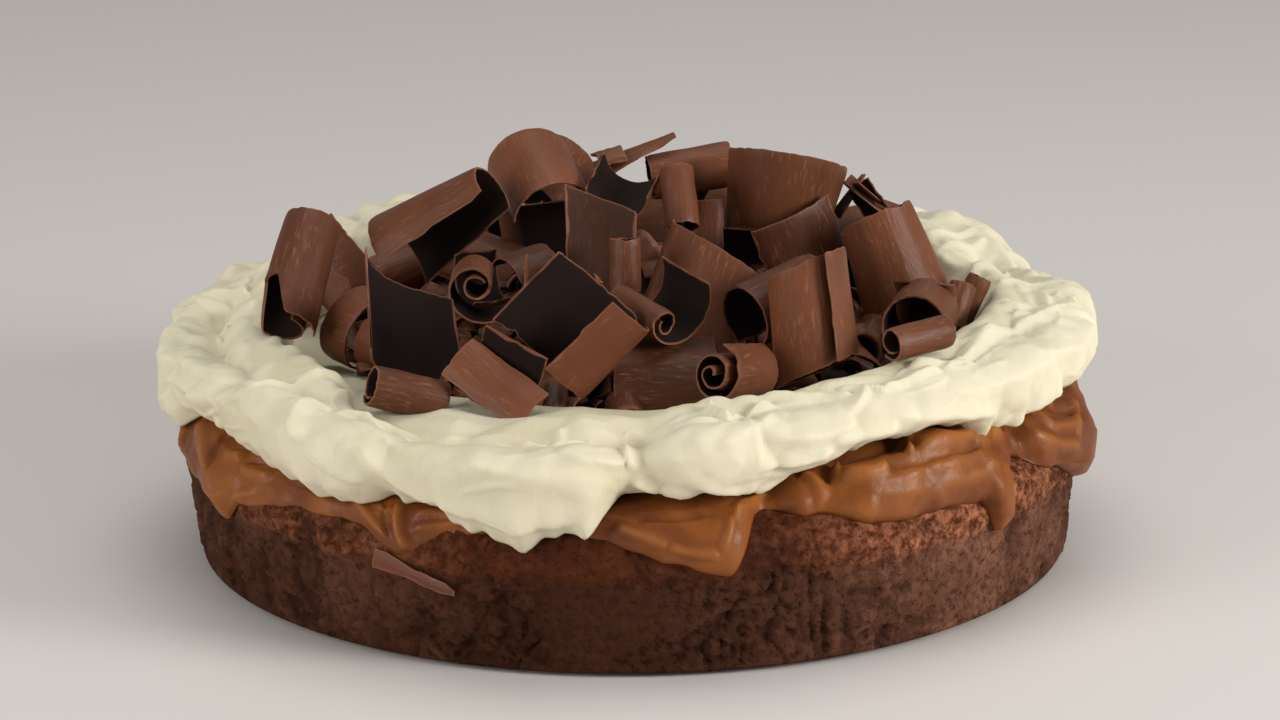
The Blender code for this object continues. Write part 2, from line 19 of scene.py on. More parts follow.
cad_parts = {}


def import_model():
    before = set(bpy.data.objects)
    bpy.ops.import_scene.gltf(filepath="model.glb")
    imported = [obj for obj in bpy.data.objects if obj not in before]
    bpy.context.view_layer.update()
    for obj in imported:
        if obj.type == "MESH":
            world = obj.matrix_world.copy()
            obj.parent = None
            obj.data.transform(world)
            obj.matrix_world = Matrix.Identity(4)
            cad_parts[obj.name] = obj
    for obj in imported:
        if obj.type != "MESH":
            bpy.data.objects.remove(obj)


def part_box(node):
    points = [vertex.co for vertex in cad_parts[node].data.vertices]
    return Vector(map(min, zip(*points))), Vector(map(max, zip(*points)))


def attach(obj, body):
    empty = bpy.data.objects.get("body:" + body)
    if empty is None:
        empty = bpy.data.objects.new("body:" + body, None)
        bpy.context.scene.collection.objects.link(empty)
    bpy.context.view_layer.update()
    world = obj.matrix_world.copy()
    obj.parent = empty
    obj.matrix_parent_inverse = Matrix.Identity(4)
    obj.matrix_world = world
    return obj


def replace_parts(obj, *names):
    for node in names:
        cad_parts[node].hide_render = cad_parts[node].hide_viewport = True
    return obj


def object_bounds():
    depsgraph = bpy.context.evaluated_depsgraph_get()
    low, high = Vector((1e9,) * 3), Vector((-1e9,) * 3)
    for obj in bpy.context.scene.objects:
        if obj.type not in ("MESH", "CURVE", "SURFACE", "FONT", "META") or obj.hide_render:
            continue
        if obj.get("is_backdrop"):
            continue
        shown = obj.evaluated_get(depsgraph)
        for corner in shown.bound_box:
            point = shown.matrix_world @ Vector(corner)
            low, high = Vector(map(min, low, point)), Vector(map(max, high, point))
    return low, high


log = logging.getLogger("chocolate_marquise")

BODY = "root"
MERGE_DISTANCE = 1e-6
OCTAVE_STEP = 2.0


# Small helpers


def smooth_step(share: float) -> float:
    """Ease from 0 to 1, flat at both ends.

    Args:
        share: The way along, clamped to 0..1.

    Returns:
        The eased share.
    """
    share = min(1.0, max(0.0, share))
    return share * share * (3 - 2 * share)


def eased_between(rows: Sequence[tuple], place: float, column: int) -> float:
    """Read a column of a table, eased between its rows.

    Args:
        rows: Rows that start with their place, in rising order.
        place: Where to read.
        column: Which column to read.

    Returns:
        The value there; the last row's outside of the table.
    """
    for before, after in zip(rows, rows[1:]):
        if before[0] <= place <= after[0]:
            share = (place - before[0]) / (after[0] - before[0])
            return before[column] + (after[column] - before[column]) * smooth_step(share)
    return rows[-1][column]


def around(table: Sequence[tuple], bearing: float, column: int) -> float:
    """Read a column of a table of bearings, which starts at 0 and closes on itself."""
    return eased_between([*table, (table[0][0] + 360, *table[0][1:])], bearing % 360, column)


def turn_between(first: float, second: float) -> float:
    """The way from the second bearing to the first, from -180 to 180 degrees."""
    return (first - second + 180) % 360 - 180


def upright(point: Vector, bearing: float) -> Vector:
    """Turn a point (radius, height) into the spot in space at that bearing."""
    turned = math.radians(bearing)
    return Vector((point.x * math.cos(turned), point.x * math.sin(turned), point.y))


def even_values(start: float, end: float, step: float) -> list[float]:
    """Even values from start to just before end, about a step apart."""
    count = max(1, round(abs(end - start) / step))
    return [start + (end - start) * index / count for index in range(count)]


def turned_mesh(
    name: str,
    stations: int,
    steps: int,
    place: Callable[[int, float], Vector],
    attributes: dict[str, Callable[[int, float], float]],
) -> bpy.types.Mesh:
    """Spin a closed solid from rings, then place each point of it.

    Args:
        name: The mesh's name.
        stations: How many points the section has; the first and last lie on the axis.
        steps: How many steps the spin has.
        place: Gives the spot in space for a station and a bearing.
        attributes: Named values a point carries, from its station and bearing.

    Returns:
        The finished mesh.
    """
    bm = bmesh.new()
    spokes = [bm.verts.new((station, 0, 0)) for station in range(stations)]
    edges = [bm.edges.new(pair) for pair in zip(spokes, spokes[1:])]
    bmesh.ops.spin(
        bm,
        geom=spokes + edges,
        cent=(0, 0, 0),
        axis=(0, 0, 1),
        angle=2 * math.pi,
        steps=steps,
        use_merge=True,
    )
    layers = {key: bm.verts.layers.float.new(key) for key in attributes}
    for vert in bm.verts:
        station = round(math.hypot(vert.co.x, vert.co.y))
        step = round(math.atan2(vert.co.y, vert.co.x) / (2 * math.pi) * steps) % steps
        bearing = 360 * step / steps
        vert.co = place(station, bearing)
        for key, layer in layers.items():
            vert[layer] = attributes[key](station, bearing)
    bmesh.ops.remove_doubles(bm, verts=bm.verts, dist=MERGE_DISTANCE)
    bmesh.ops.recalc_face_normals(bm, faces=bm.faces)
    return smooth_mesh(name, bm)


def corners(bm: bmesh.types.BMesh) -> tuple[Vector, Vector]:
    """Find the lower and the upper corner of a bmesh's box."""
    axes = list(zip(*(vert.co for vert in bm.verts)))
    return Vector(min(values) for values in axes), Vector(max(values) for values in axes)


def smooth_mesh(name: str, bm: bmesh.types.BMesh) -> bpy.types.Mesh:
    """Turn a bmesh into a smooth-shaded mesh, and free it.

    Args:
        name: The mesh's name.
        bm: The bmesh.

    Returns:
        The mesh.
    """
    mesh = bpy.data.meshes.new(name)
    bm.to_mesh(mesh)
    bm.free()
    mesh.shade_smooth()
    return mesh


def add_object(name: str, data: bpy.types.ID) -> bpy.types.Object:
    """Put a mesh, a lamp or a camera into the scene.

    Args:
        name: The object's name.
        data: What it holds.

    Returns:
        The object.
    """
    thing = bpy.data.objects.new(name, data)
    bpy.context.scene.collection.objects.link(thing)
    return thing


def add_piece(
    mesh: bpy.types.Mesh, material: bpy.types.Material, node: str
) -> bpy.types.Object:
    """Put a finished mesh into the scene as a piece of the cake, in the place of a CAD node.

    Args:
        mesh: The piece's mesh, already in place.
        material: Its finish.
        node: The node that it replaces.

    Returns:
        The piece.
    """
    piece = add_object(mesh.name, mesh)
    mesh.materials.clear()
    mesh.materials.append(material)
    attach(piece, BODY)
    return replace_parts(piece, node)


@dataclass(frozen=True)
class Relief:
    """A smooth noise, or a lumpy one where it has octaves, as high as height either way.

    waves counts its waves a metre, and fade says how fast the octaves weaken.
    """

    waves: float
    height: float
    fade: float = 0.9
    octaves: int = 0

    def at(self, spot: Vector) -> float:
        """Find its height at a spot.

        Args:
            spot: The spot.

        Returns:
            The height.
        """
        if self.octaves:
            return self.height * noise.fractal(spot * self.waves, self.fade, OCTAVE_STEP, self.octaves)
        return self.height * noise.noise(spot * self.waves)


# Finishes


class Nodes:
    """A material's node tree with short ways to add what the finishes need."""

    def __init__(self, name: str) -> None:
        """Start a material with its Principled shader.

        Args:
            name: The material's name.
        """
        self.material = bpy.data.materials.new(name)
        self.material.use_nodes = True
        self.tree = self.material.node_tree
        self.shader = self.tree.nodes["Principled BSDF"]
        self.spot = self.tree.nodes.new("ShaderNodeTexCoord").outputs["Object"]

    def set(self, **values: float | tuple) -> None:
        """Set the shader's own sockets, with _ for a space in their names."""
        for key, value in values.items():
            self.shader.inputs[key.replace("_", " ")].default_value = value

    def link(self, start: bpy.types.NodeSocket, end: bpy.types.NodeSocket) -> None:
        """Join two sockets."""
        self.tree.links.new(start, end)

    def unrolled(self, name: str, scale: tuple) -> bpy.types.NodeSocket:
        """Read a UV map, scaled along each axis.

        Args:
            name: The UV map's name.
            scale: The three scales.

        Returns:
            The scaled coordinates.
        """
        flat = self.tree.nodes.new("ShaderNodeUVMap")
        flat.uv_map = name
        mapping = self.tree.nodes.new("ShaderNodeMapping")
        mapping.inputs["Scale"].default_value = scale
        self.link(flat.outputs["UV"], mapping.inputs["Vector"])
        return mapping.outputs["Vector"]

    def noise(
        self,
        scale: float,
        detail: float = 3.0,
        roughness: float = 0.55,
        spot: bpy.types.NodeSocket | None = None,
        distortion: float = 0.0,
    ) -> bpy.types.NodeSocket:
        """Add a noise texture.

        Args:
            scale: Its waves a metre.
            detail: How many octaves it has.
            roughness: How strong the finer octaves are.
            spot: The coordinates; the object's own where left out.
            distortion: How much it is warped.

        Returns:
            The noise, about 0.5.
        """
        node = self.tree.nodes.new("ShaderNodeTexNoise")
        node.inputs["Scale"].default_value = scale
        node.inputs["Detail"].default_value = detail
        node.inputs["Roughness"].default_value = roughness
        node.inputs["Distortion"].default_value = distortion
        self.link(spot or self.spot, node.inputs["Vector"])
        return node.outputs["Fac"]

    def attribute(self, name: str) -> bpy.types.NodeSocket:
        """Read a value that the piece's points carry.

        Args:
            name: The value's name.

        Returns:
            The value.
        """
        node = self.tree.nodes.new("ShaderNodeAttribute")
        node.attribute_name = name
        return node.outputs["Fac"]

    def ramp(self, value: bpy.types.NodeSocket, low: float, high: float) -> bpy.types.NodeSocket:
        """Stretch a value so that low becomes 0 and high becomes 1, eased.

        Args:
            value: The value.
            low: What becomes 0.
            high: What becomes 1.

        Returns:
            The stretched value.
        """
        node = self.tree.nodes.new("ShaderNodeMapRange")
        node.interpolation_type = "SMOOTHSTEP"
        node.inputs["From Min"].default_value = low
        node.inputs["From Max"].default_value = high
        self.link(value, node.inputs["Value"])
        return node.outputs["Result"]

    def maths(
        self,
        operation: str,
        first: bpy.types.NodeSocket | float,
        second: bpy.types.NodeSocket | float,
    ) -> bpy.types.NodeSocket:
        """Add a maths node.

        Args:
            operation: Its operation.
            first: Its first value.
            second: Its second value.

        Returns:
            The result.
        """
        node = self.tree.nodes.new("ShaderNodeMath")
        node.operation = operation
        for index, value in enumerate((first, second)):
            if isinstance(value, float):
                node.inputs[index].default_value = value
            else:
                self.link(value, node.inputs[index])
        return node.outputs["Value"]

    def product(
        self, first: bpy.types.NodeSocket, second: bpy.types.NodeSocket | float
    ) -> bpy.types.NodeSocket:
        """Multiply two values."""
        return self.maths("MULTIPLY", first, second)

    def mix(
        self,
        share: bpy.types.NodeSocket,
        first: bpy.types.NodeSocket | tuple,
        second: bpy.types.NodeSocket | tuple,
    ) -> bpy.types.NodeSocket:
        """Mix two colours.

        Args:
            share: How much of the second there is.
            first: The first colour.
            second: The second colour.

        Returns:
            The mixed colour.
        """
        node = self.tree.nodes.new("ShaderNodeMix")
        node.data_type = "RGBA"
        self.link(share, node.inputs["Factor"])
        for key, value in (("A", first), ("B", second)):
            socket = next(s for s in node.inputs if s.name == key and s.type == "RGBA")
            if isinstance(value, tuple):
                socket.default_value = (*value, 1.0)
            else:
                self.link(value, socket)
        return next(s for s in node.outputs if s.type == "RGBA")

    def bump(self, heights: Iterable[tuple[bpy.types.NodeSocket, float]]) -> None:
        """Give the shader a relief.

        Args:
            heights: Values and how high, in metres, each makes the surface rise.
        """
        normal = None
        for height, distance in heights:
            node = self.tree.nodes.new("ShaderNodeBump")
            node.inputs["Strength"].default_value = 1.0
            node.inputs["Distance"].default_value = distance
            self.link(height, node.inputs["Height"])
            if normal:
                self.link(normal, node.inputs["Normal"])
            normal = node.outputs["Normal"]
        self.link(normal, self.shader.inputs["Normal"])

    def colour(self, socket: bpy.types.NodeSocket) -> None:
        """Give the shader its colour."""
        self.link(socket, self.shader.inputs["Base Color"])

    def roughness(self, share: bpy.types.NodeSocket, low: float, high: float) -> None:
        """Vary the shader's roughness.

        Args:
            share: A value from 0 to 1.
            low: The roughness where it is 0.
            high: The roughness where it is 1.
        """
        node = self.tree.nodes.new("ShaderNodeMapRange")
        node.inputs["To Min"].default_value = low
        node.inputs["To Max"].default_value = high
        self.link(share, node.inputs["Value"])
        self.link(node.outputs["Result"], self.shader.inputs["Roughness"])


@dataclass(frozen=True)
class CrumbFinish:
    """Baked chocolate crumb: a dark wall and a redder crust, both painted paler in patches where light
    falls.
    """

    wall: tuple = (0.060, 0.0185, 0.0078)
    wall_deep: tuple = (0.026, 0.0078, 0.0040)
    # Painted light: the lit wall's paler grey-brown, laid on in patches.
    bloom: tuple = (0.235, 0.102, 0.062)
    crust: tuple = (0.074, 0.0172, 0.0046)
    # Painted light: the lit crust's paler colour.
    crust_pale: tuple = (0.400, 0.150, 0.076)
    roughness: tuple = (0.66, 0.92)
    grain_waves: float = 1300
    crumb_waves: float = 620
    clump_waves: float = 400
    patch_waves: float = 48
    clump_rise: float = 0.0006
    crumb_rise: float = 0.00035
    grain_rise: float = 0.00045
    least_painted_light: float = 0.05
    gap_shade: float = 0.5
    pit_shade: float = 0.7

    def material(self) -> bpy.types.Material:
        """Make the material.

        Returns:
            The material.
        """
        nodes = Nodes("chocolate_crumb")
        nodes.set(IOR=1.4, Specular_IOR_Level=0.14)
        grain = nodes.noise(self.grain_waves, 4.0, 0.7)
        crumbs = nodes.noise(self.crumb_waves, 3.0, 0.6)
        clump = nodes.noise(self.clump_waves, 4.0, 0.65)
        patches = nodes.noise(self.patch_waves, 3.0, 0.6)
        # Painted light: the wall and the crust pale in patches towards the lit sides, least at the front.
        painted_light = nodes.attribute("painted_light")
        wall = nodes.mix(nodes.ramp(clump, 0.14, 0.66), self.wall_deep, self.wall)
        bloom = nodes.product(nodes.ramp(patches, 0.22, 0.70), nodes.ramp(clump, 0.12, 0.72))
        wall = nodes.mix(nodes.product(bloom, painted_light), wall, self.bloom)
        painted_paleness = nodes.maths("ADD", self.least_painted_light, painted_light)
        pale = nodes.product(nodes.ramp(clump, 0.34, 0.72), painted_paleness)
        crust = nodes.mix(pale, self.crust, self.crust_pale)
        base = nodes.mix(nodes.attribute("crust"), wall, crust)
        gaps = nodes.ramp(crumbs, 0.55, 0.72)
        base = nodes.mix(nodes.product(gaps, self.gap_shade), base, self.wall_deep)
        # Painted shade in the pits and cracks.
        pit = nodes.product(nodes.attribute("pit"), self.pit_shade)
        nodes.colour(nodes.mix(pit, base, self.wall_deep))
        nodes.roughness(clump, *self.roughness)
        filled = nodes.maths("SUBTRACT", 1.0, gaps)
        nodes.bump(((clump, self.clump_rise), (filled, self.crumb_rise), (grain, self.grain_rise)))
        return nodes.material


@dataclass(frozen=True)
class CaramelFinish:
    """Dulce de leche: a thick glossy spread, with painted highlights on the knife's ridges."""

    deep: tuple = (0.150, 0.039, 0.0080)
    body: tuple = (0.258, 0.079, 0.0138)
    # Painted highlight colour on the ridges.
    pale: tuple = (0.340, 0.117, 0.023)
    roughness: tuple = (0.32, 0.54)
    patch_waves: float = 45
    drag_waves: float = 190
    patch_rise: float = 0.0006
    drag_rise: float = 0.00035

    def material(self) -> bpy.types.Material:
        """Make the material.

        Returns:
            The material.
        """
        nodes = Nodes("caramel")
        nodes.set(
            IOR=1.46,
            Specular_IOR_Level=0.3,
            Subsurface_Weight=0.15,
            Subsurface_Radius=(0.010, 0.004, 0.0015),
            Subsurface_Scale=0.25,
        )
        patches = nodes.noise(self.patch_waves, 3.0, 0.55, distortion=0.8)
        drags = nodes.noise(self.drag_waves, 4.0, 0.6, distortion=0.5)
        base = nodes.mix(nodes.ramp(patches, 0.36, 0.66), self.deep, self.body)
        # Painted highlight on the knife's ridges.
        nodes.colour(nodes.mix(nodes.attribute("ridge"), base, self.pale))
        nodes.roughness(drags, *self.roughness)
        nodes.bump(((patches, self.patch_rise), (drags, self.drag_rise)))
        return nodes.material


@dataclass(frozen=True)
class CreamFinish:
    """Whipped cream: soft ivory that lets light in, with the fine pores of whipping."""

    body: tuple = (0.740, 0.683, 0.505)
    # Painted shade colour for the hollows between the dollops and the basin floor.
    hollow: tuple = (0.660, 0.600, 0.420)
    roughness: tuple = (0.45, 0.62)
    pore_waves: float = 1500
    swipe_waves: float = 330
    pore_rise: float = 0.00010
    swipe_rise: float = 0.00022

    def material(self) -> bpy.types.Material:
        """Make the material.

        Returns:
            The material.
        """
        nodes = Nodes("cream")
        nodes.set(
            IOR=1.35,
            Specular_IOR_Level=0.35,
            Subsurface_Weight=0.35,
            Subsurface_Radius=(0.008, 0.006, 0.0035),
            Subsurface_Scale=0.3,
        )
        pores = nodes.noise(self.pore_waves, 3.0, 0.6)
        swipes = nodes.noise(self.swipe_waves, 4.0, 0.6, distortion=0.4)
        # Painted shade in the hollows, on the underside and on the basin floor.
        nodes.colour(nodes.mix(nodes.attribute("hollow"), self.body, self.hollow))
        nodes.roughness(swipes, *self.roughness)
        nodes.bump(((swipes, self.swipe_rise), (pores, self.pore_rise)))
        return nodes.material


@dataclass(frozen=True)
class ChocolateFinish:
    """Shaved chocolate: milk-brown and grained outside, near black and smooth inside, the near black partly
    its own darker face and partly painted shade.
    """

    outer: tuple = (0.178, 0.0600, 0.0270)
    # Darkest outside colour: used for low tones, which are partly painted shade, and for the painted shadow
    # patches.
    outer_dark: tuple = (0.058, 0.0190, 0.0100)
    outer_pale: tuple = (0.330, 0.135, 0.068)
    # Inside colour: partly the chocolate's darker face, partly painted shade inside the rolls.
    inner: tuple = (0.0125, 0.0046, 0.0031)
    rim: tuple = (0.215, 0.084, 0.044)
    roughness: tuple = (0.34, 0.85)
    fleck_scale: tuple = (1250, 210, 1)
    comb_scale: tuple = (420, 18, 1)
    patch_waves: float = 95
    shadow_waves: float = 40
    fleck_share: float = 0.9
    shadow_share: float = 0.42
    fleck_shine: float = 0.35
    inside_combing: float = 0.3
    fleck_rise: float = 0.00014
    comb_rise: float = 0.00022

    def material(self) -> bpy.types.Material:
        """Make the material.

        Returns:
            The material.
        """
        nodes = Nodes("chocolate")
        nodes.set(IOR=1.45, Specular_IOR_Level=0.24)
        flecks = nodes.noise(1, 3.0, 0.6, nodes.unrolled("strip", self.fleck_scale), 0.4)
        combed = nodes.noise(1, 2.0, 0.5, nodes.unrolled("strip", self.comb_scale))
        patches = nodes.noise(self.patch_waves, 3.0, 0.55)
        shadows = nodes.noise(self.shadow_waves, 2.0, 0.5)
        # The inside's near black is partly painted shade; a roll's lit share paints light onto its inside.
        outside = nodes.attribute("outside")
        pale = nodes.product(nodes.ramp(flecks, 0.50, 0.80), nodes.ramp(patches, 0.38, 0.68))
        shadow = nodes.product(nodes.ramp(shadows, 0.32, 0.72), self.shadow_share)
        # The tone paints each curl lighter or darker: partly its own colour, partly painted light and
        # shade.
        outer = nodes.mix(nodes.attribute("tone"), self.outer_dark, self.outer)
        outer = nodes.mix(shadow, outer, self.outer_dark)
        outer = nodes.mix(nodes.product(pale, self.fleck_share), outer, self.outer_pale)
        base = nodes.mix(outside, self.inner, outer)
        nodes.colour(nodes.mix(nodes.attribute("rim"), base, self.rim))
        dull = nodes.maths("SUBTRACT", 1.0, outside)
        shine = nodes.product(flecks, self.fleck_shine)
        nodes.roughness(nodes.maths("MAXIMUM", shine, dull), *self.roughness)
        relief = nodes.product(flecks, outside)
        combing = nodes.product(combed, nodes.maths("MAXIMUM", outside, self.inside_combing))
        nodes.bump(((relief, self.fleck_rise), (combing, self.comb_rise)))
        return nodes.material


# The cake and the layers that follow its outline


@dataclass(frozen=True)
class Outline:
    """The section of the cake's outside: a flat top, a rounded crust and a flared wall."""

    radius: float = 0.120
    foot_radius: float = 0.1165
    height: float = 0.040
    crust_height: float = 0.030
    flat_radius: float = 0.108

    @property
    def crust_arc(self) -> float:
        """Find how long the rounded crust is along the section.

        Returns:
            The length in metres.
        """
        width = self.radius - self.flat_radius
        depth = self.height - self.crust_height
        return math.pi / 2 * math.sqrt((width**2 + depth**2) / 2)

    @property
    def wall(self) -> float:
        """The length of the wall along the section."""
        return math.hypot(self.radius - self.foot_radius, self.crust_height)

    def at(self, reach: float) -> tuple[Vector, Vector]:
        """Follow the outline from the flat top's edge.

        Args:
            reach: The length along it, positive on the way down.

        Returns:
            The point (radius, height) there and the outward normal.
        """
        if reach <= 0:
            return Vector((self.flat_radius + reach, self.height)), Vector((0, 1))
        width = self.radius - self.flat_radius
        depth = self.height - self.crust_height
        if reach < self.crust_arc:
            turned = math.pi / 2 * reach / self.crust_arc
            point = Vector(
                (
                    self.flat_radius + width * math.sin(turned),
                    self.crust_height + depth * math.cos(turned),
                )
            )
            return point, Vector((math.sin(turned) / width, math.cos(turned) / depth)).normalized()
        down = Vector((self.foot_radius - self.radius, -self.crust_height)).normalized()
        point = Vector((self.radius, self.crust_height)) + down * (reach - self.crust_arc)
        return point, Vector((-down.y, down.x))

    def over(self, reach: float, cover: float, first: float) -> Vector:
        """Find the point at a height over the cake.

        Args:
            reach: The length along the outline.
            cover: The height over it.
            first: How much of the height goes straight out, before it leans upwards.

        Returns:
            The point (radius, height).
        """
        point, normal = self.at(reach)
        upper = (normal + Vector((0, 1))).normalized()
        first = min(cover, first)
        return point + normal * first + upper * (cover - first)


@dataclass(frozen=True)
class Pits:
    """Round holes where bubbles broke open, scattered by a cell pattern.

    share says how many cells have a pit, and widest how wide the widest is in its cell.
    """

    cells_a_metre: float
    share: float
    widest: float
    depth: float
    narrowest: float = 0.45
    slope: float = 0.55
    shuffle: float = 7.3

    def at(self, spot: Vector) -> float:
        """Find how deep the pits are at a spot, in metres.

        Args:
            spot: The spot.

        Returns:
            The depth in metres.
        """
        distances, centres = noise.voronoi(spot * self.cells_a_metre)
        luck = noise.cell(centres[0] * self.shuffle)
        if luck > self.share:
            return 0.0
        wide = self.widest * (self.narrowest + (1 - self.narrowest) * luck / self.share)
        return self.depth * smooth_step((wide - distances[0]) / (self.slope * wide))


@dataclass(frozen=True)
class Cracks:
    """Upright cracks that wander up the wall, stop and start again.

    A crack follows the zero line of a noise with a_degree and a_metre waves; half_width is in
    its values. sway makes it wander, and a wider noise of the same kind opens and closes it.
    """

    depth: float = 0.0012
    half_width: float = 0.045
    a_degree: float = 0.16
    a_metre: float = 9
    sway: Relief = Relief(60, 0.75)
    open_a_degree: float = 0.05
    open_a_metre: float = 12
    open_share: float = 0.4

    def at(self, spot: Vector, bearing: float) -> float:
        """Find how deep the cracks are at a spot, in metres.

        Args:
            spot: The spot.
            bearing: Its bearing.

        Returns:
            The depth in metres.
        """
        across = bearing * self.a_degree + self.sway.at(spot)
        line = noise.noise(Vector((across, spot.z * self.a_metre, 2.0)))
        wide = Vector((bearing * self.open_a_degree, spot.z * self.open_a_metre, 8.0))
        opened = smooth_step(3 * noise.noise(wide) + self.open_share)
        return self.depth * opened * smooth_step(1 - abs(line) / self.half_width)


@dataclass
class Cake:
    """The dense cake: a pitted, cracked wall under a crumbly rounded crust.

    A row of PAINTED_LIGHT holds a bearing and how much painted light pales the crumb there.
    """

    outline: Outline = field(default_factory=Outline)
    finish: CrumbFinish = field(default_factory=CrumbFinish)
    hidden_reaches: tuple = (-0.05, -0.03, -0.018)
    grid_start: float = -0.010
    grid: float = 0.00088
    steps: int = 850
    foot_rounding: float = 0.002
    foot_fade: float = 0.003
    dent: Relief = Relief(34, 0.0006)
    grain: Relief = Relief(620, 0.00034)
    lumps: Relief = Relief(150, 0.00022, 0.9, 3)
    wall_lumpiness: float = 0.7
    crust_lumpiness: float = 1.5
    crust_swell: float = 0.0006
    crust_filling: float = 0.55
    crust_edge: float = 0.0262
    crust_blend: float = 0.0050
    crust_raggedness: Relief = Relief(90, 0.0024, 1.0, 3)
    big_pits: Pits = Pits(140, 0.045, 0.28, 0.0012)
    small_pits: Pits = Pits(400, 0.17, 0.38, 0.0008)
    pit_patches: Relief = Relief(42, 1.6)
    pit_share: float = 0.45
    small_pit_bonus: float = 0.3
    cracks: Cracks = Cracks()
    darkest_depth: float = 0.0021

    # Painted light by bearing: palest on the lit right, none at the front.
    PAINTED_LIGHT = (
        (0, 0.60), (60, 0.40), (130, 0.50),
        (190, 0.50), (232, 0.45), (262, 0.00),
        (285, 0.15), (312, 1.25), (335, 1.00),
    )

    def __post_init__(self) -> None:
        """Work out where the section's points lie."""
        self.end = self.outline.crust_arc + self.outline.wall
        self.foot = self.end - self.foot_rounding
        self.reaches = [-self.outline.flat_radius, *self.hidden_reaches]
        self.reaches += even_values(self.grid_start, self.foot, self.grid)
        self.reaches += [self.foot, self.end - 0.5 * self.foot_rounding]

    def crustiness(self, spot: Vector) -> float:
        """Find whether a spot is wall, 0, or crust, 1."""
        above = spot.z - self.crust_edge + self.crust_raggedness.at(spot)
        return smooth_step(above / self.crust_blend + 0.5)

    def hollows(self, spot: Vector, bearing: float) -> float:
        """Find how deep pits and cracks are at a spot, in metres.

        Args:
            spot: The spot.
            bearing: Its bearing.

        Returns:
            The depth in metres.
        """
        patch = smooth_step(self.pit_share + self.pit_patches.at(spot))
        small = self.small_pits.at(spot) * smooth_step(patch + self.small_pit_bonus)
        return self.big_pits.at(spot) * patch + small + self.cracks.at(spot, bearing)

    def place(self, station: int, bearing: float) -> Vector:
        """Place a point of the cake's skin.

        Args:
            station: The point's number along the section.
            bearing: Its bearing.

        Returns:
            The spot in space.
        """
        if station == 0:
            return Vector((0, 0, self.outline.height))
        if station >= len(self.reaches):
            return Vector((0, 0, 0))
        reach = self.reaches[station]
        point, normal = self.outline.at(reach)
        if reach > self.foot:
            share = (reach - self.foot) / self.foot_rounding
            return upright(point - normal * (self.foot_rounding * share**2), bearing)
        spot = upright(point, bearing)
        if reach < self.grid_start:
            return spot
        crust = self.crustiness(spot)
        swell = self.dent.at(spot) + self.grain.at(spot)
        swell += self.lumps.at(spot) * (self.wall_lumpiness + self.crust_lumpiness * crust)
        swell += self.crust_swell * crust
        swell -= self.hollows(spot, bearing) * (1 - self.crust_filling * crust)
        return upright(point + normal * (swell * smooth_step(spot.z / self.foot_fade)), bearing)

    def skin_spot(self, station: int, bearing: float) -> Vector | None:
        """Find a point of the plain skin; None at the top's middle and under the cake.

        Args:
            station: The point's number along the section.
            bearing: Its bearing.

        Returns:
            The spot in space, or None.
        """
        if not 0 < station < len(self.reaches):
            return None
        return upright(self.outline.at(self.reaches[station])[0], bearing)

    def shade(self, station: int, bearing: float) -> float:
        """Find how much painted shade a point gets in its pits and cracks, from 0 to 1.

        Args:
            station: The point's number along the section.
            bearing: Its bearing.

        Returns:
            The share.
        """
        spot = self.skin_spot(station, bearing)
        if spot is None or station <= len(self.hidden_reaches):
            return 0.0
        return min(1.0, self.hollows(spot, bearing) / self.darkest_depth)

    def crust_share(self, station: int, bearing: float) -> float:
        """Find how much a point is crust, from 0 to 1."""
        spot = self.skin_spot(station, bearing)
        return 0.0 if spot is None else self.crustiness(spot)

    def painted_light(self, station: int, bearing: float) -> float:
        """Find how much painted light pales the crumb at a point, from 0 to 1."""
        return around(self.PAINTED_LIGHT, bearing, 1)

    def build(self) -> bpy.types.Object:
        """Make the cake.

        Returns:
            The piece.
        """
        mesh = turned_mesh(
            "cake_crumb",
            len(self.reaches) + 1,
            self.steps,
            self.place,
            {"crust": self.crust_share, "pit": self.shade, "painted_light": self.painted_light},
        )
        return add_piece(mesh, self.finish.material(), "cake")


@dataclass(frozen=True)
class Stroke:
    """A drag of the spreading knife: a soft ridge with a sharper far side.

    bearing and reach are its middle, angle its way over the surface in degrees from level, and
    bend how far its middle bows. On the spread, reach is the length along the outline; on the
    cream it is the tilt in degrees.
    """

    bearing: float
    reach: float
    angle: float
    length: float
    width: float
    height: float
    bend: float = 0.0

    SHARPER = 1.9
    TAPER = 2.4

    def rise(self, along: float, down: float, power: float) -> float:
        """Find the ridge's height at an offset from its middle.

        Args:
            along: The offset round the cake, in metres.
            down: The offset down its outside.
            power: How hollow the ridge's sides are: 1 is straight.

        Returns:
            The height in metres.
        """
        turned = math.radians(self.angle)
        run = along * math.cos(turned) + down * math.sin(turned)
        off = -along * math.sin(turned) + down * math.cos(turned)
        share = 2 * run / (self.length + self.width)
        if abs(share) >= 1:
            return 0.0
        off -= self.bend * (1 - share**2)
        side = off / self.width * (1.0 if off < 0 else self.SHARPER)
        if abs(side) >= 1:
            return 0.0
        return self.height * (1 - abs(side)) ** power * smooth_step(self.TAPER * (1 - abs(share)))


def strokes(*rows: tuple) -> tuple[Stroke, ...]:
    """Make a stroke of each row: bearing, reach, angle, length, width, height and bend."""
    return tuple(Stroke(*row) for row in rows)


@dataclass(frozen=True)
class Combing:
    """Lines that follow the knife: their waves and how much they bow with it."""

    a_degree: float
    a_metre: float
    layer: float
    bowing: float = 0.0

    def at(self, bearing: float, reach: float, bow: float = 0.0) -> float:
        """Find the lines' height at a place, from -1 to 1."""
        across = bearing * self.a_degree + bow
        return noise.noise(Vector((across, reach * self.a_metre + self.bowing * bow, self.layer)))


STROKE_RADIUS = 0.105


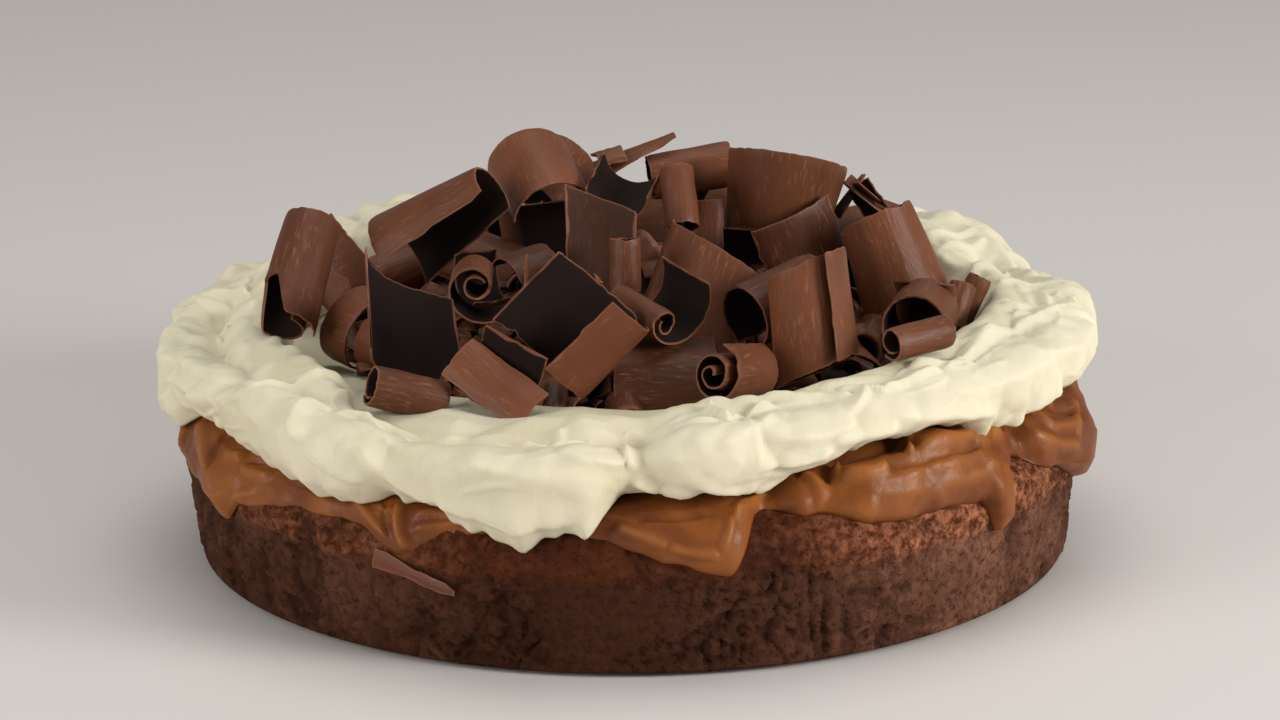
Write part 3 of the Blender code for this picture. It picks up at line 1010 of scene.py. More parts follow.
def near_strokes(strokes: Iterable[Stroke], reach: float) -> list[list[Stroke]]:
    """List the strokes that can be felt at each whole bearing.

    Args:
        strokes: All the strokes.
        reach: How many degrees beyond its middle a stroke of no length is still listed.

    Returns:
        A list for each of the 360 whole bearings.
    """
    near: list[list[Stroke]] = [[] for bearing in range(360)]
    for stroke in strokes:
        half = reach + math.degrees(0.5 * stroke.length / STROKE_RADIUS)
        for bearing in range(360):
            if abs(turn_between(bearing, stroke.bearing)) <= half:
                near[bearing].append(stroke)
    return near


@dataclass
class DulceDeLeche:
    """The spread over the cake's top, hanging over its crust in lobes and drips.

    A row of LOBES holds a bearing, how far the spread hangs down the outline and how thick it
    is there. STROKES raise it and GROOVES dig into it.
    """

    outline: Outline = field(default_factory=Outline)
    finish: CaramelFinish = field(default_factory=CaramelFinish)
    thickness: float = 0.0045
    start: float = -0.020
    rise: float = -0.013
    bluntness: float = 4
    lifted: float = 0.0004
    steps: int = 900
    under_count: int = 8
    over_count: int = 60
    crowding: float = 1.25
    raggedness: float = 0.0012
    end_waves: Combing = Combing(0.30, 0, 5.0)
    least_reach: float = 0.0008
    bow: Combing = Combing(0.045, 22, 3.0)
    ripple: float = 0.0006
    ripple_lines: Combing = Combing(0.05, 170, 1.0, 2.4)
    ripple_sharpness: float = 2.2
    thread: float = 0.00028
    thread_lines: Combing = Combing(0.07, 560, 6.0, 5)
    ridge_power: float = 0.9
    groove_power: float = 0.8
    drawn_from: float = -0.012
    drawn_over: float = 0.008
    drawn_thickness: float = 0.003
    drawn_drop: float = 0.0005
    # The painted highlight on a ridge starts at this height and grows over the next.
    highlight_from: float = 0.0004
    highlight_over: float = 0.0024

    LOBES = (
        (0, 0.006, 0.0070), (12, 0.014, 0.0060), (24, 0.002, 0.0045),
        (40, 0.009, 0.0055), (58, 0.019, 0.0060), (72, 0.004, 0.0045),
        (92, 0.012, 0.0055), (110, 0.001, 0.0045), (128, 0.016, 0.0060),
        (146, 0.005, 0.0050), (164, 0.011, 0.0055), (180, 0.006, 0.0050),
        (190, 0.016, 0.0055), (203, 0.019, 0.0060), (208, 0.025, 0.0050),
        (214, 0.017, 0.0055), (224, 0.0125, 0.0040), (234, 0.0120, 0.0036),
        (241, 0.018, 0.0040), (247, 0.0115, 0.0036), (258, 0.006, 0.0045),
        (266, 0.010, 0.0050), (274, 0.016, 0.0060), (281, 0.020, 0.0065),
        (287, 0.002, 0.0045), (292, 0.006, 0.0095), (302, 0.012, 0.0150),
        (312, 0.012, 0.0170), (317, 0.013, 0.0140), (320.5, 0.0225, 0.0085),
        (323.5, 0.010, 0.0105), (328, 0.006, 0.0100), (335, 0.014, 0.0095),
        (345, 0.022, 0.0110), (353, 0.014, 0.0095),
    )

    STROKES = strokes(
        (202, 0.0121, 16, 0.025, 0.0032, 0.0022, -0.0015),
        (198, 0.0057, -13, 0.014, 0.0024, 0.0018, -0.0010),
        (207, 0.0030, -29, 0.010, 0.0026, 0.0022, -0.0015),
        (212, 0.0062, -20, 0.016, 0.0024, 0.0024, 0.0015), (216, 0.0087, -6, 0.011, 0.0022, 0.0020, 0.0010),
        (210, 0.0190, 65, 0.006, 0.0024, 0.0018, 0.0005),
        (215, 0.0152, -21, 0.011, 0.0020, 0.0016, -0.0008),
        (207, 0.0116, 19, 0.016, 0.0020, 0.0009, 0.0005), (217, 0.0113, -2, 0.006, 0.0020, 0.0008, 0.0005),
        (220, 0.0060, 6, 0.009, 0.0026, 0.0026, -0.0010), (227, 0.0054, -8, 0.017, 0.0024, 0.0024, 0.0006),
        (236, 0.0094, 31, 0.020, 0.0024, 0.0020, 0.0010), (241, 0.0116, 65, 0.010, 0.0026, 0.0024, 0.0004),
        (239, 0.0083, 11, 0.008, 0.0020, 0.0012, 0.0004), (246, 0.0081, -8, 0.014, 0.0026, 0.0016, -0.0008),
        (246, 0.0094, -18, 0.013, 0.0022, 0.0016, 0.0006), (267, 0.0053, 14, 0.015, 0.0022, 0.0012, 0.0005),
        (271, 0.0102, 22, 0.013, 0.0024, 0.0018, 0.0004), (277, 0.0137, 11, 0.012, 0.0024, 0.0020, 0.0004),
        (281, 0.0111, -62, 0.007, 0.0022, 0.0020, 0.0005),
        (285, 0.0026, -41, 0.015, 0.0024, 0.0024, 0.0005),
        (273, -0.0013, -1, 0.009, 0.0024, 0.0016, -0.0006), (274, 0.0056, 3, 0.017, 0.0018, 0.0008, 0.0005),
        (275, 0.0078, 1, 0.019, 0.0018, 0.0009, 0.0008), (275, 0.0106, 4, 0.013, 0.0018, 0.0007, 0.0005),
        (279, 0.0075, 50, 0.007, 0.0020, 0.0010, 0.0008), (293, 0.0038, 71, 0.005, 0.0034, 0.0024, -0.0015),
        (297, 0.0083, 18, 0.013, 0.0030, 0.0020, 0.0010),
        (298, 0.0019, -39, 0.005, 0.0026, 0.0024, -0.0008), (300, 0.0046, 9, 0.011, 0.0028, 0.0030, 0.0016),
        (304, 0.0018, -3, 0.018, 0.0026, 0.0026, -0.0010),
        (308, 0.0030, -47, 0.005, 0.0030, 0.0032, -0.0008),
        (318, 0.0038, -3, 0.043, 0.0030, 0.0030, 0.0010), (303, 0.0068, 4, 0.019, 0.0024, 0.0014, 0.0012),
        (314, 0.0071, -2, 0.025, 0.0024, 0.0014, 0.0010), (304, 0.0088, 6, 0.019, 0.0022, 0.0012, 0.0008),
        (315, 0.0091, -2, 0.022, 0.0024, 0.0016, 0.0012), (313, 0.0144, 19, 0.021, 0.0024, 0.0020, -0.0008),
        (315, 0.0143, 26, 0.014, 0.0020, 0.0016, 0.0006), (304, 0.0066, 3, 0.013, 0.0016, 0.0008, 0.0005),
        (336, 0.0044, 80, 0.007, 0.0026, 0.0022, 0.0010), (339, 0.0093, 15, 0.012, 0.0024, 0.0018, 0.0006),
        (335, 0.0090, 26, 0.022, 0.0028, 0.0020, 0.0015), (355, 0.0081, -1, 0.041, 0.0026, 0.0022, -0.0010),
        (342, 0.0107, -26, 0.010, 0.0024, 0.0020, -0.0008),
        (340, 0.0038, -58, 0.005, 0.0022, 0.0018, 0.0006), (214, 0.0150, 70, 0.010, 0.0022, 0.0018, 0.0005),
        (10, 0.006, 15, 0.030, 0.0036, 0.0018, 0.002), (20, 0.001, -20, 0.024, 0.0030, 0.0018, -0.002),
        (40, 0.003, -10, 0.034, 0.0036, 0.0018, 0.002), (57, 0.010, 40, 0.028, 0.0036, 0.0020, 0.002),
        (60, 0.004, 20, 0.030, 0.0030, 0.0018, -0.002), (74, 0.001, -14, 0.026, 0.0034, 0.0018, 0.002),
        (90, 0.004, -10, 0.036, 0.0036, 0.0018, 0.002), (94, 0.009, 18, 0.024, 0.0030, 0.0018, 0.002),
        (127, 0.008, 25, 0.034, 0.0036, 0.0020, -0.003), (131, 0.013, 60, 0.018, 0.0030, 0.0018, 0.002),
        (147, 0.002, -12, 0.028, 0.0034, 0.0018, 0.002), (163, 0.005, 10, 0.030, 0.0036, 0.0018, 0.002),
        (180, 0.003, -18, 0.026, 0.0034, 0.0018, 0.002), (190, 0.010, 40, 0.022, 0.0032, 0.0020, -0.002),
    )

    GROOVES = strokes(
        (303, 0.0008, 4, 0.018, 0.0058, 0.0090, 0.0), (312, -0.0006, 8, 0.016, 0.0044, 0.0060, 0.0),
        (297, 0.0005, -40, 0.008, 0.0026, 0.0026, 0.0), (214, 0.0068, -10, 0.009, 0.0022, 0.0026, 0.0),
        (212, 0.0012, -18, 0.014, 0.0026, 0.0026, 0.0), (275, 0.0066, 2, 0.020, 0.0012, 0.0010, 0.0006),
        (311, 0.0058, 0, 0.034, 0.0013, 0.0012, 0.0008), (310, 0.0112, 4, 0.022, 0.0013, 0.0012, 0.0010),
        (331, 0.0080, 80, 0.016, 0.0030, 0.0030, 0.0010), (341, 0.0070, 30, 0.016, 0.0015, 0.0014, 0.0010),
        (338, 0.0130, 20, 0.018, 0.0014, 0.0014, 0.0010), (205, 0.0095, 60, 0.014, 0.0014, 0.0012, -0.0010),
        (239, 0.0105, 60, 0.010, 0.0013, 0.0014, 0.0005),
    )

    def __post_init__(self) -> None:
        """Sort the strokes by bearing."""
        self.near = near_strokes(self.STROKES, 4)
        self.near_grooves = near_strokes(self.GROOVES, 4)

    def end(self, bearing: float) -> float:
        """Find how far the spread reaches there."""
        ragged = self.raggedness * self.end_waves.at(bearing, 0)
        return max(self.least_reach, around(self.LOBES, bearing, 1) + ragged)

    def cover(self, reach: float, bearing: float, end: float | None = None) -> float:
        """Find how thick the smooth spread is.

        Args:
            reach: The length along the outline.
            bearing: The bearing.
            end: Where the spread ends, if it is known.

        Returns:
            The thickness in metres.
        """
        end = around(self.LOBES, bearing, 1) if end is None else end
        lobe = around(self.LOBES, bearing, 2)
        share = (reach - self.start) / (end - self.start)
        if share >= 1:
            return 0.0
        risen = smooth_step(1 - reach / self.rise)
        swell = self.thickness + (lobe - self.thickness) * risen
        return swell * math.sqrt(1 - max(0.0, share) ** self.bluntness)

    def stroke_height(self, stroke: Stroke, reach: float, bearing: float, power: float) -> float:
        """Find how high one stroke stands there, in metres."""
        along = self.outline.flat_radius * math.radians(turn_between(bearing, stroke.bearing))
        return stroke.rise(along, reach - stroke.reach, power)

    def drawn(self, reach: float, bearing: float) -> float:
        """Find how high the knife's ridges stand there, in metres.

        Args:
            reach: The length along the outline.
            bearing: The bearing.

        Returns:
            The height in metres.
        """
        bow = self.bow.at(bearing, reach)
        ripple = 1 - self.ripple_sharpness * abs(self.ripple_lines.at(bearing, reach, bow))
        height = self.ripple * ripple + self.thread * self.thread_lines.at(bearing, reach, bow)
        degree = round(bearing) % 360
        for stroke in self.near[degree]:
            height = max(height, self.stroke_height(stroke, reach, bearing, self.ridge_power))
        for groove in self.near_grooves[degree]:
            height -= self.stroke_height(groove, reach, bearing, self.groove_power)
        return height

    def upper_reach(self, station: int, end: float) -> float:
        """Find where a station of the upper side lies along the outline."""
        back = (station - self.under_count) / self.over_count
        return self.start + (1 - back**self.crowding) * (end - self.start)

    def place(self, station: int, bearing: float) -> Vector:
        """Place a point of the spread.

        Args:
            station: The point's number along the section.
            bearing: Its bearing.

        Returns:
            The spot in space.
        """
        end = self.end(bearing)
        if station == 0:
            return Vector((0, 0, self.outline.height + self.lifted))
        if station <= self.under_count:
            reach = self.start + (end - self.start) * station / self.under_count
            return upright(self.outline.over(reach, self.lifted, self.thickness), bearing)
        if station <= self.under_count + self.over_count:
            reach = self.upper_reach(station, end)
            smooth = self.cover(reach, bearing, end)
            free = smooth_step((reach - self.drawn_from) / self.drawn_over)
            free *= min(1.0, smooth / self.drawn_thickness)
            height = smooth + (self.drawn(reach, bearing) - self.drawn_drop) * free
            height = max(self.lifted, height)
            return upright(self.outline.over(reach, height, self.thickness), bearing)
        return Vector((0, 0, self.outline.height + self.thickness))

    def ridge(self, station: int, bearing: float) -> float:
        """Find how much painted highlight a point gets on the knife's ridges, from 0 to 1.

        Args:
            station: The point's number along the section.
            bearing: Its bearing.

        Returns:
            The share.
        """
        if not self.under_count < station <= self.under_count + self.over_count:
            return 0.0
        drawn = self.drawn(self.upper_reach(station, self.end(bearing)), bearing)
        return smooth_step((drawn - self.highlight_from) / self.highlight_over)

    def build(self) -> bpy.types.Object:
        """Make the spread.

        Returns:
            The piece.
        """
        mesh = turned_mesh(
            "caramel_spread",
            self.under_count + self.over_count + 2,
            self.steps,
            self.place,
            {"ridge": self.ridge},
        )
        return add_piece(mesh, self.finish.material(), "dulce_de_leche")


@dataclass(frozen=True)
class Dollop:
    """A spoonful of cream that swells out of the ring."""

    bearing: float
    tilt: float
    size: float
    height: float

    REACH = 12
    POWER = 0.7

    def rise(self, along: float, tilt: float, section: tuple) -> float:
        """Find how far it swells the ring.

        Args:
            along: The bearing.
            tilt: The tilt of the section there.
            section: The ring's radius and the section's radius.

        Returns:
            The swelling in metres.
        """
        apart = turn_between(along, self.bearing)
        if abs(apart) > self.REACH:
            return 0.0
        run = section[0] * math.radians(apart)
        across = section[1] * math.radians(tilt - self.tilt)
        share = 1 - (run**2 + across**2) / self.size**2
        return self.height * share**self.POWER if share > 0 else 0.0


@dataclass(frozen=True)
class Bank:
    """The low bank of cream under the outermost curls, between two radii of the basin."""

    inner_radius: float = 0.064
    outer_radius: float = 0.114
    fade: float = 0.016
    blend: float = 0.0015
    ripple: Relief = Relief(70, 0.0009)
    ridge: Relief = Relief(46, 0.0022)
    ridge_share: float = 0.2
    ridge_shift: tuple = (3.0, 5.0, 0.0)

    HEIGHTS = (
        (0, 0.0020), (190, 0.0020), (208, 0.0036), (222, 0.0066),
        (240, 0.0085), (256, 0.0090), (275, 0.0085), (300, 0.0075),
        (325, 0.0065), (345, 0.0035),
    )

    def height(self, flat: Vector, bearing: float) -> float:
        """Find how high it stands over the basin's floor at a spot of the floor.

        Args:
            flat: The spot, with no height.
            bearing: Its bearing.

        Returns:
            The height in metres.
        """
        bank = around(self.HEIGHTS, bearing, 1) + self.ripple.at(flat)
        folds = noise.noise(flat * self.ridge.waves + Vector(self.ridge_shift))
        bank += self.ridge.height * (self.ridge_share - abs(folds))
        bank *= smooth_step((flat.length - self.inner_radius) / self.fade)
        return bank * smooth_step((self.outer_radius - flat.length) / self.fade)

    def raised(self, spot: Vector, bearing: float, floor: float, least: float = 0.0) -> Vector:
        """Raise a spot of the inner slope or of the basin's floor to the bank.

        Args:
            spot: The spot.
            bearing: Its bearing.
            floor: The height of the basin's floor.
            least: The radius that a buried spot keeps outside of.

        Returns:
            The spot, raised to the bank.
        """
        flat = Vector((spot.x, spot.y, 0))
        lift = floor + self.height(flat, bearing) - spot.z
        if lift <= -self.blend:
            return spot
        if flat.length < least:
            buried = smooth_step(lift / (2 * self.blend) + 0.5)
            spot = spot + flat * (least / flat.length - 1) * buried
        eased = lift if lift >= self.blend else (lift + self.blend) ** 2 / (4 * self.blend)
        return spot + Vector((0, 0, eased))


@dataclass
class WhippedCream:
    """The bed under the heap and the lumpy ring round it.

    A row of RING holds a bearing, how far down the outline the lip hangs, the widest radius,
    the ridge's radius and height, and how full the inner slope is. A row of KNOBS holds a
    bearing and how high the knobs stand there.
    """

    spread: DulceDeLeche
    outline: Outline = field(default_factory=Outline)
    finish: CreamFinish = field(default_factory=CreamFinish)
    bank: Bank = Bank()
    floor: float = 0.0500
    floor_middle: float = 0.0003
    foot_radius: float = 0.091
    lip_drop: float = 0.004
    gap: float = 0.0012
    full: float = 0.75
    steps: int = 900
    under_count: int = 10
    face_count: int = 80
    floor_count: int = 12
    inner_width: float = 0.012
    shoulder_tilt: float = 140
    widest_tilt: float = 4
    least_lip_turn: float = 12
    soft: float = 0.0030
    scallop: float = 0.0022
    scallops: Combing = Combing(0.14, 0, 9.0)
    scallop_share: float = 0.4
    scallop_sharpness: float = 2.0
    fray: float = 0.0016
    frays: Combing = Combing(0.45, 0, 3.0)
    warp_waves: float = 40
    warp_along: float = 2.2
    warp_tilt: float = 9
    stroke_power: float = 1.35
    free_lip: float = 9
    free_foot: float = 4
    knob_waves: float = 105
    knob_warp: float = 0.004
    knob_width: float = 0.6
    crease: float = 0.0013
    crease_sharpness: float = 4.5
    crease_patches: Relief = Relief(30, 1.7)
    crease_share: float = 0.35
    upper_creases: float = 0.45
    upper_tilt: float = 70
    lumps: Relief = Relief(48, 0.0008)
    fine_lumps: Relief = Relief(170, 0.00035, 0.9, 3)
    dollop_share: float = 0.65
    dollop_shade: float = 0.4
    hollow_depth: float = 0.0022
    drop: float = 0.0007
    stroke_count: int = 120
    seed: int = 7

    RING = (
        (0, 0.000, 0.1225, 0.108, 0.0625, 0.90), (20, 0.002, 0.1210, 0.107, 0.0590, 0.90),
        (38, -0.002, 0.1205, 0.106, 0.0675, 0.90), (58, 0.004, 0.1225, 0.107, 0.0625, 0.90),
        (80, 0.000, 0.1195, 0.106, 0.0585, 0.90), (100, 0.006, 0.1235, 0.108, 0.0600, 0.90),
        (128, 0.001, 0.1210, 0.106, 0.0670, 0.90), (150, 0.005, 0.1195, 0.108, 0.0580, 0.90),
        (166, 0.006, 0.1205, 0.109, 0.0610, 0.90), (180, 0.012, 0.1235, 0.110, 0.0540, 0.90),
        (190, 0.012, 0.1245, 0.111, 0.0530, 0.90), (203, 0.004, 0.1215, 0.110, 0.0550, 0.90),
        (218, 0.006, 0.1245, 0.109, 0.0580, 0.85), (230, 0.009, 0.1255, 0.109, 0.0545, 0.35),
        (243, 0.006, 0.1235, 0.108, 0.0515, 0.40), (256, 0.013, 0.1265, 0.108, 0.0520, 0.90),
        (264, 0.011, 0.1250, 0.108, 0.0550, 0.90), (271, -0.001, 0.1180, 0.106, 0.0560, 0.90),
        (279, 0.003, 0.1210, 0.106, 0.0610, 0.90), (290, 0.000, 0.1175, 0.105, 0.0620, 0.90),
        (305, 0.002, 0.1165, 0.105, 0.0650, 0.90), (318, 0.002, 0.1165, 0.106, 0.0660, 0.90),
        (330, 0.004, 0.1185, 0.107, 0.0660, 0.90), (345, 0.001, 0.1215, 0.108, 0.0650, 0.90),
    )

    DOLLOPS = (
        Dollop(5, 20, 0.022, 0.0040),
        Dollop(14, 75, 0.015, 0.0030),
        Dollop(33, 60, 0.020, 0.0045),
        Dollop(50, 10, 0.018, 0.0035),
        Dollop(66, 70, 0.020, 0.0040),
        Dollop(84, 25, 0.021, 0.0040),
        Dollop(97, 85, 0.015, 0.0030),
        Dollop(115, 30, 0.020, 0.0040),
        Dollop(127, 85, 0.015, 0.0045),
        Dollop(142, 25, 0.018, 0.0035),
        Dollop(158, 70, 0.017, 0.0045),
        Dollop(170, 20, 0.017, 0.0040),
        Dollop(184, -5, 0.019, 0.0035),
        Dollop(199, 35, 0.016, 0.0025),
        Dollop(220, 55, 0.015, 0.0045),
        Dollop(230, 0, 0.020, 0.0035),
        Dollop(250, 10, 0.018, 0.0030),
        Dollop(260, -25, 0.015, 0.0035),
        Dollop(263, 75, 0.011, 0.0030),
        Dollop(279, 45, 0.013, 0.0045),
        Dollop(280, 0, 0.012, 0.0040),
        Dollop(292, 35, 0.014, 0.0040),
        Dollop(303, 60, 0.015, 0.0035),
        Dollop(316, 30, 0.017, 0.0040),
        Dollop(332, 45, 0.018, 0.0035),
        Dollop(348, 20, 0.020, 0.0045),
    )

    KNOBS = (
        (0, 0.0006), (30, 0.0010), (90, 0.0006), (150, 0.0010),
        (176, 0.0024), (206, 0.0024), (222, 0.0010), (240, 0.0004),
        (264, 0.0006), (283, 0.0014), (300, 0.0006), (340, 0.0010),
    )

    SWIPES = strokes(
        (198, 27, -8, 0.063, 0.0060, 0.0024, -0.0015), (203, 18, -4, 0.045, 0.0050, 0.0022, 0.0015),
        (217, 87, -72, 0.023, 0.0050, 0.0018, 0.0010), (226, 29, 66, 0.011, 0.0040, 0.0026, 0.0012),
        (225, 81, -84, 0.016, 0.0040, 0.0024, -0.0015), (233, -1, 17, 0.015, 0.0050, 0.0020, 0.0015),
        (234, 47, 20, 0.028, 0.0060, 0.0016, -0.0020), (239, 115, -6, 0.024, 0.0050, 0.0018, 0.0015),
        (242, -1, 26, 0.021, 0.0055, 0.0022, 0.0015), (255, -23, 8, 0.028, 0.0060, 0.0020, 0.0015),
        (258, 3, 17, 0.027, 0.0060, 0.0018, -0.0015), (265, 29, 11, 0.015, 0.0050, 0.0018, 0.0015),
        (270, 50, 87, 0.016, 0.0035, 0.0024, 0.0008), (274, -18, 22, 0.014, 0.0040, 0.0024, 0.0012),
        (284, 39, -25, 0.015, 0.0045, 0.0018, 0.0010), (282, -29, 31, 0.018, 0.0040, 0.0024, 0.0012),
        (284, 26, -89, 0.014, 0.0035, 0.0020, 0.0010), (289, -4, -6, 0.016, 0.0040, 0.0022, 0.0012),
        (295, 100, 29, 0.021, 0.0040, 0.0020, -0.0010), (292, 24, -4, 0.019, 0.0050, 0.0018, 0.0012),
        (302, 74, 31, 0.010, 0.0030, 0.0022, -0.0008), (299, 11, 2, 0.020, 0.0045, 0.0020, 0.0010),
        (310, 64, -2, 0.023, 0.0040, 0.0022, -0.0012), (313, 8, 13, 0.035, 0.0050, 0.0020, 0.0012),
        (327, 85, -9, 0.040, 0.0045, 0.0022, -0.0010), (325, 28, 2, 0.040, 0.0060, 0.0018, 0.0015),
        (331, -28, -22, 0.022, 0.0045, 0.0022, 0.0015), (349, 64, 17, 0.037, 0.0050, 0.0024, -0.0010),
        (341, 30, 3, 0.040, 0.0050, 0.0020, 0.0015), (181, 39, -13, 0.030, 0.0050, 0.0022, 0.0012),
        (173, 87, -75, 0.013, 0.0045, 0.0026, -0.0010), (177, 32, 11, 0.015, 0.0040, 0.0022, -0.0008),
        (196, 117, -7, 0.051, 0.0060, 0.0012, -0.0015), (229, 100, -10, 0.012, 0.0035, 0.0020, -0.0005),
        (258, 72, 24, 0.011, 0.0030, 0.0028, -0.0008), (262, 70, -26, 0.011, 0.0030, 0.0024, 0.0008),
        (260, 88, 80, 0.008, 0.0028, 0.0024, 0.0004), (266, 84, -3, 0.022, 0.0045, 0.0018, -0.0008),
        (275, 84, 12, 0.020, 0.0040, 0.0022, -0.0010), (281, 88, 62, 0.008, 0.0026, 0.0034, 0.0004),
        (286, 84, -18, 0.014, 0.0032, 0.0022, -0.0008), (300, 60, -35, 0.014, 0.0036, 0.0022, 0.0008),
        (319, 90, 20, 0.018, 0.0040, 0.0022, 0.0010),
    )

    def __post_init__(self) -> None:
        """Add the strokes behind to those that show from the front, and sort them by bearing."""
        # Unless it is seeded, noise_vector takes its offsets from the clock.
        noise.seed_set(self.seed)
        draw = random.Random(self.seed)
        behind = [
            Stroke(
                draw.uniform(-14, 196),
                draw.uniform(-25, 150),
                draw.choice((draw.uniform(-30, 30), draw.uniform(60, 120))),
                draw.uniform(0.012, 0.034),
                draw.uniform(0.0035, 0.0062),
                draw.uniform(0.0014, 0.0026),
                draw.uniform(-0.002, 0.002),
            )
            for index in range(self.stroke_count)
        ]
        self.near = near_strokes((*self.SWIPES, *behind), 6)
        self.low, self.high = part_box("whipped_cream")

    def bed(self, reach: float, bearing: float) -> float:
        """Find how high over the cake the cream lies: on the spread, and past its end on crust.

        Args:
            reach: The length along the outline.
            bearing: The bearing.

        Returns:
            The height in metres.
        """
        end = around(self.spread.LOBES, bearing, 1)
        full = self.spread.start + self.full * (end - self.spread.start)
        level = self.spread.cover(min(reach, full), bearing)
        past = smooth_step((reach - end - 0.5 * self.lip_drop) / self.lip_drop)
        return level * (1 - past)

    def kept(self, value: float, axis: int) -> float:
        """Ease a level coordinate so that it stays inside the CAD piece's box.

        Args:
            value: The coordinate.
            axis: Its axis, 0 or 1.

        Returns:
            The eased coordinate.
        """
        edge = abs((self.high if value > 0 else self.low)[axis])
        over = abs(value) - (edge - self.soft)
        if over <= 0:
            return value
        return math.copysign(edge - self.soft * math.exp(-over / self.soft), value)

    def lip_reach(self, bearing: float) -> float:
        """Find how far down the outline the cream's ragged lower edge hangs.

        Args:
            bearing: The bearing.

        Returns:
            The length along the outline.
        """
        scallop = self.scallop_share - self.scallop_sharpness * abs(self.scallops.at(bearing, 0))
        ragged = self.scallop * scallop + self.fray * self.frays.at(bearing, 0)
        return around(self.RING, bearing, 1) + ragged

    def lip(self, bearing: float) -> Vector:
        """Find where the cream's outer face meets what it hangs on."""
        reach = self.lip_reach(bearing)
        return self.outline.over(reach, self.bed(reach, bearing) + self.gap, self.spread.thickness)

    @lru_cache(maxsize=2048)
    def section(self, bearing: float) -> tuple[Vector, tuple, float]:
        """Find the ring's section at a bearing: its heart, its knots and its ridge's radius.

        Args:
            bearing: The bearing.

        Returns:
            The heart (radius, height), the tilt and radius of each knot round it from the lip to
            the foot, and the ridge's radius.
        """
        widest, ridge_radius, ridge, fullness = (
            around(self.RING, bearing, column) for column in range(2, 6)
        )
        heart = Vector((ridge_radius, (self.floor + ridge) / 2))
        to_lip = self.lip(bearing) - heart
        to_foot = Vector((self.foot_radius, self.floor)) - heart
        first = math.degrees(math.atan2(to_lip.y, to_lip.x))
        last = math.degrees(math.atan2(to_foot.y, to_foot.x)) % 360
        knots = (
            (first, to_lip.length),
            (max(first + self.least_lip_turn, self.widest_tilt), widest - ridge_radius),
            (90, ridge - heart.y),
            (self.shoulder_tilt, fullness * to_foot.length),
            (last, to_foot.length),
        )
        return heart, knots, ridge_radius

    def drawn(self, degree: int, along: float, tilt: float, section: tuple) -> float:
        """Find how high the spoon's strokes stand at a place of the ring's face.

        Args:
            degree: The whole bearing there.
            along: The bearing, warped.
            tilt: The tilt, warped.
            section: The ring's radius and the section's radius.

        Returns:
            The height in metres.
        """
        height = 0.0
        for stroke in self.near[degree % 360]:
            run = section[0] * math.radians(turn_between(along, stroke.bearing))
            down = section[1] * math.radians(stroke.reach - tilt)
            height = max(height, stroke.rise(run, down, self.stroke_power))
        return height

    def creased(self, spot: Vector, tilt: float, along: float, leaning: float) -> float:
        """Find how high the creases stand, which run aslant over the face in patches.

        Args:
            spot: The spot in space.
            tilt: The tilt there.
            along: The bearing, warped.
            leaning: The tilt, warped.

        Returns:
            The height in metres.
        """
        swept = Vector((along * 0.10 + leaning * 0.010, leaning * 0.036 - along * 0.035, 4.0))
        patch = smooth_step(self.crease_share + self.crease_patches.at(spot))
        patch *= self.upper_creases if tilt > self.upper_tilt else 1.0
        return self.crease * patch * (1 - self.crease_sharpness * abs(noise.noise(swept)))

    @lru_cache(maxsize=100000)
    def relief(self, station: int, bearing: float) -> tuple[Vector, float]:
        """Find a point of the cream's face.

        Args:
            station: The point's number up the face.
            bearing: The bearing.

        Returns:
            The spot in space, and how much painted shade it gets between the dollops, from 0 to 1.
        """
        heart, knots, ring_radius = self.section(bearing)
        share = station / self.face_count
        first, last = knots[0][0], knots[-1][0]
        tilt = first + share * (last - first)
        radius = eased_between(knots, tilt, 1)
        turned = math.radians(tilt)
        out = Vector((math.cos(turned), math.sin(turned)))
        section = (ring_radius, radius)
        spot = upright(heart + out * radius, bearing)
        warp = noise.noise_vector(spot * self.warp_waves)
        along = bearing + self.warp_along * warp.x
        leaning = tilt + self.warp_tilt * warp.y
        big = max(dollop.rise(along, leaning, section) for dollop in self.DOLLOPS)
        drawn = self.drawn(round(bearing), along, leaning, section)
        apart = noise.voronoi((spot + self.knob_warp * warp) * self.knob_waves)[0][0]
        drawn += around(self.KNOBS, bearing, 1) * (1 - min(1.0, apart / self.knob_width) ** 2)
        drawn = max(drawn, self.creased(spot, tilt, along, leaning))
        lumps = self.lumps.at(spot) + self.fine_lumps.at(spot)
        free = min(1.0, self.free_lip * share, self.free_foot * (1 - share))
        # Painted shade between the dollops and the strokes.
        hollow = smooth_step(1 - (self.dollop_shade * big + drawn) / self.hollow_depth)
        height = free * (self.dollop_share * big + drawn + lumps - self.drop)
        spot = upright(heart + out * (radius + height), bearing)
        if tilt > 90:
            least = self.foot_radius + self.inner_width * (last - tilt) / (last - 90)
            spot = self.bank.raised(spot, bearing, self.floor, least)
        return Vector((self.kept(spot.x, 0), self.kept(spot.y, 1), spot.z)), hollow * free

    def place(self, station: int, bearing: float) -> Vector:
        """Place a point of the cream.

        Args:
            station: The point's number along the section.
            bearing: Its bearing.

        Returns:
            The spot in space.
        """
        if station == 0:
            height = self.outline.height + self.spread.thickness + self.floor_middle
            return Vector((0, 0, height))
        if station <= self.under_count:
            start = self.spread.start
            reach = start + (self.lip_reach(bearing) - start) * station / self.under_count
            cover = self.bed(reach, bearing) + self.gap
            return upright(self.outline.over(reach, cover, self.spread.thickness), bearing)
        if station <= self.under_count + self.face_count:
            return self.relief(station - self.under_count, bearing)[0]
        inwards = station - self.under_count - self.face_count
        if inwards <= self.floor_count:
            width = self.foot_radius - self.bank.inner_radius
            radius = self.foot_radius - width * inwards / self.floor_count
            spot = upright(Vector((radius, self.floor)), bearing)
            return self.bank.raised(spot, bearing, self.floor)
        return Vector((0, 0, self.floor))

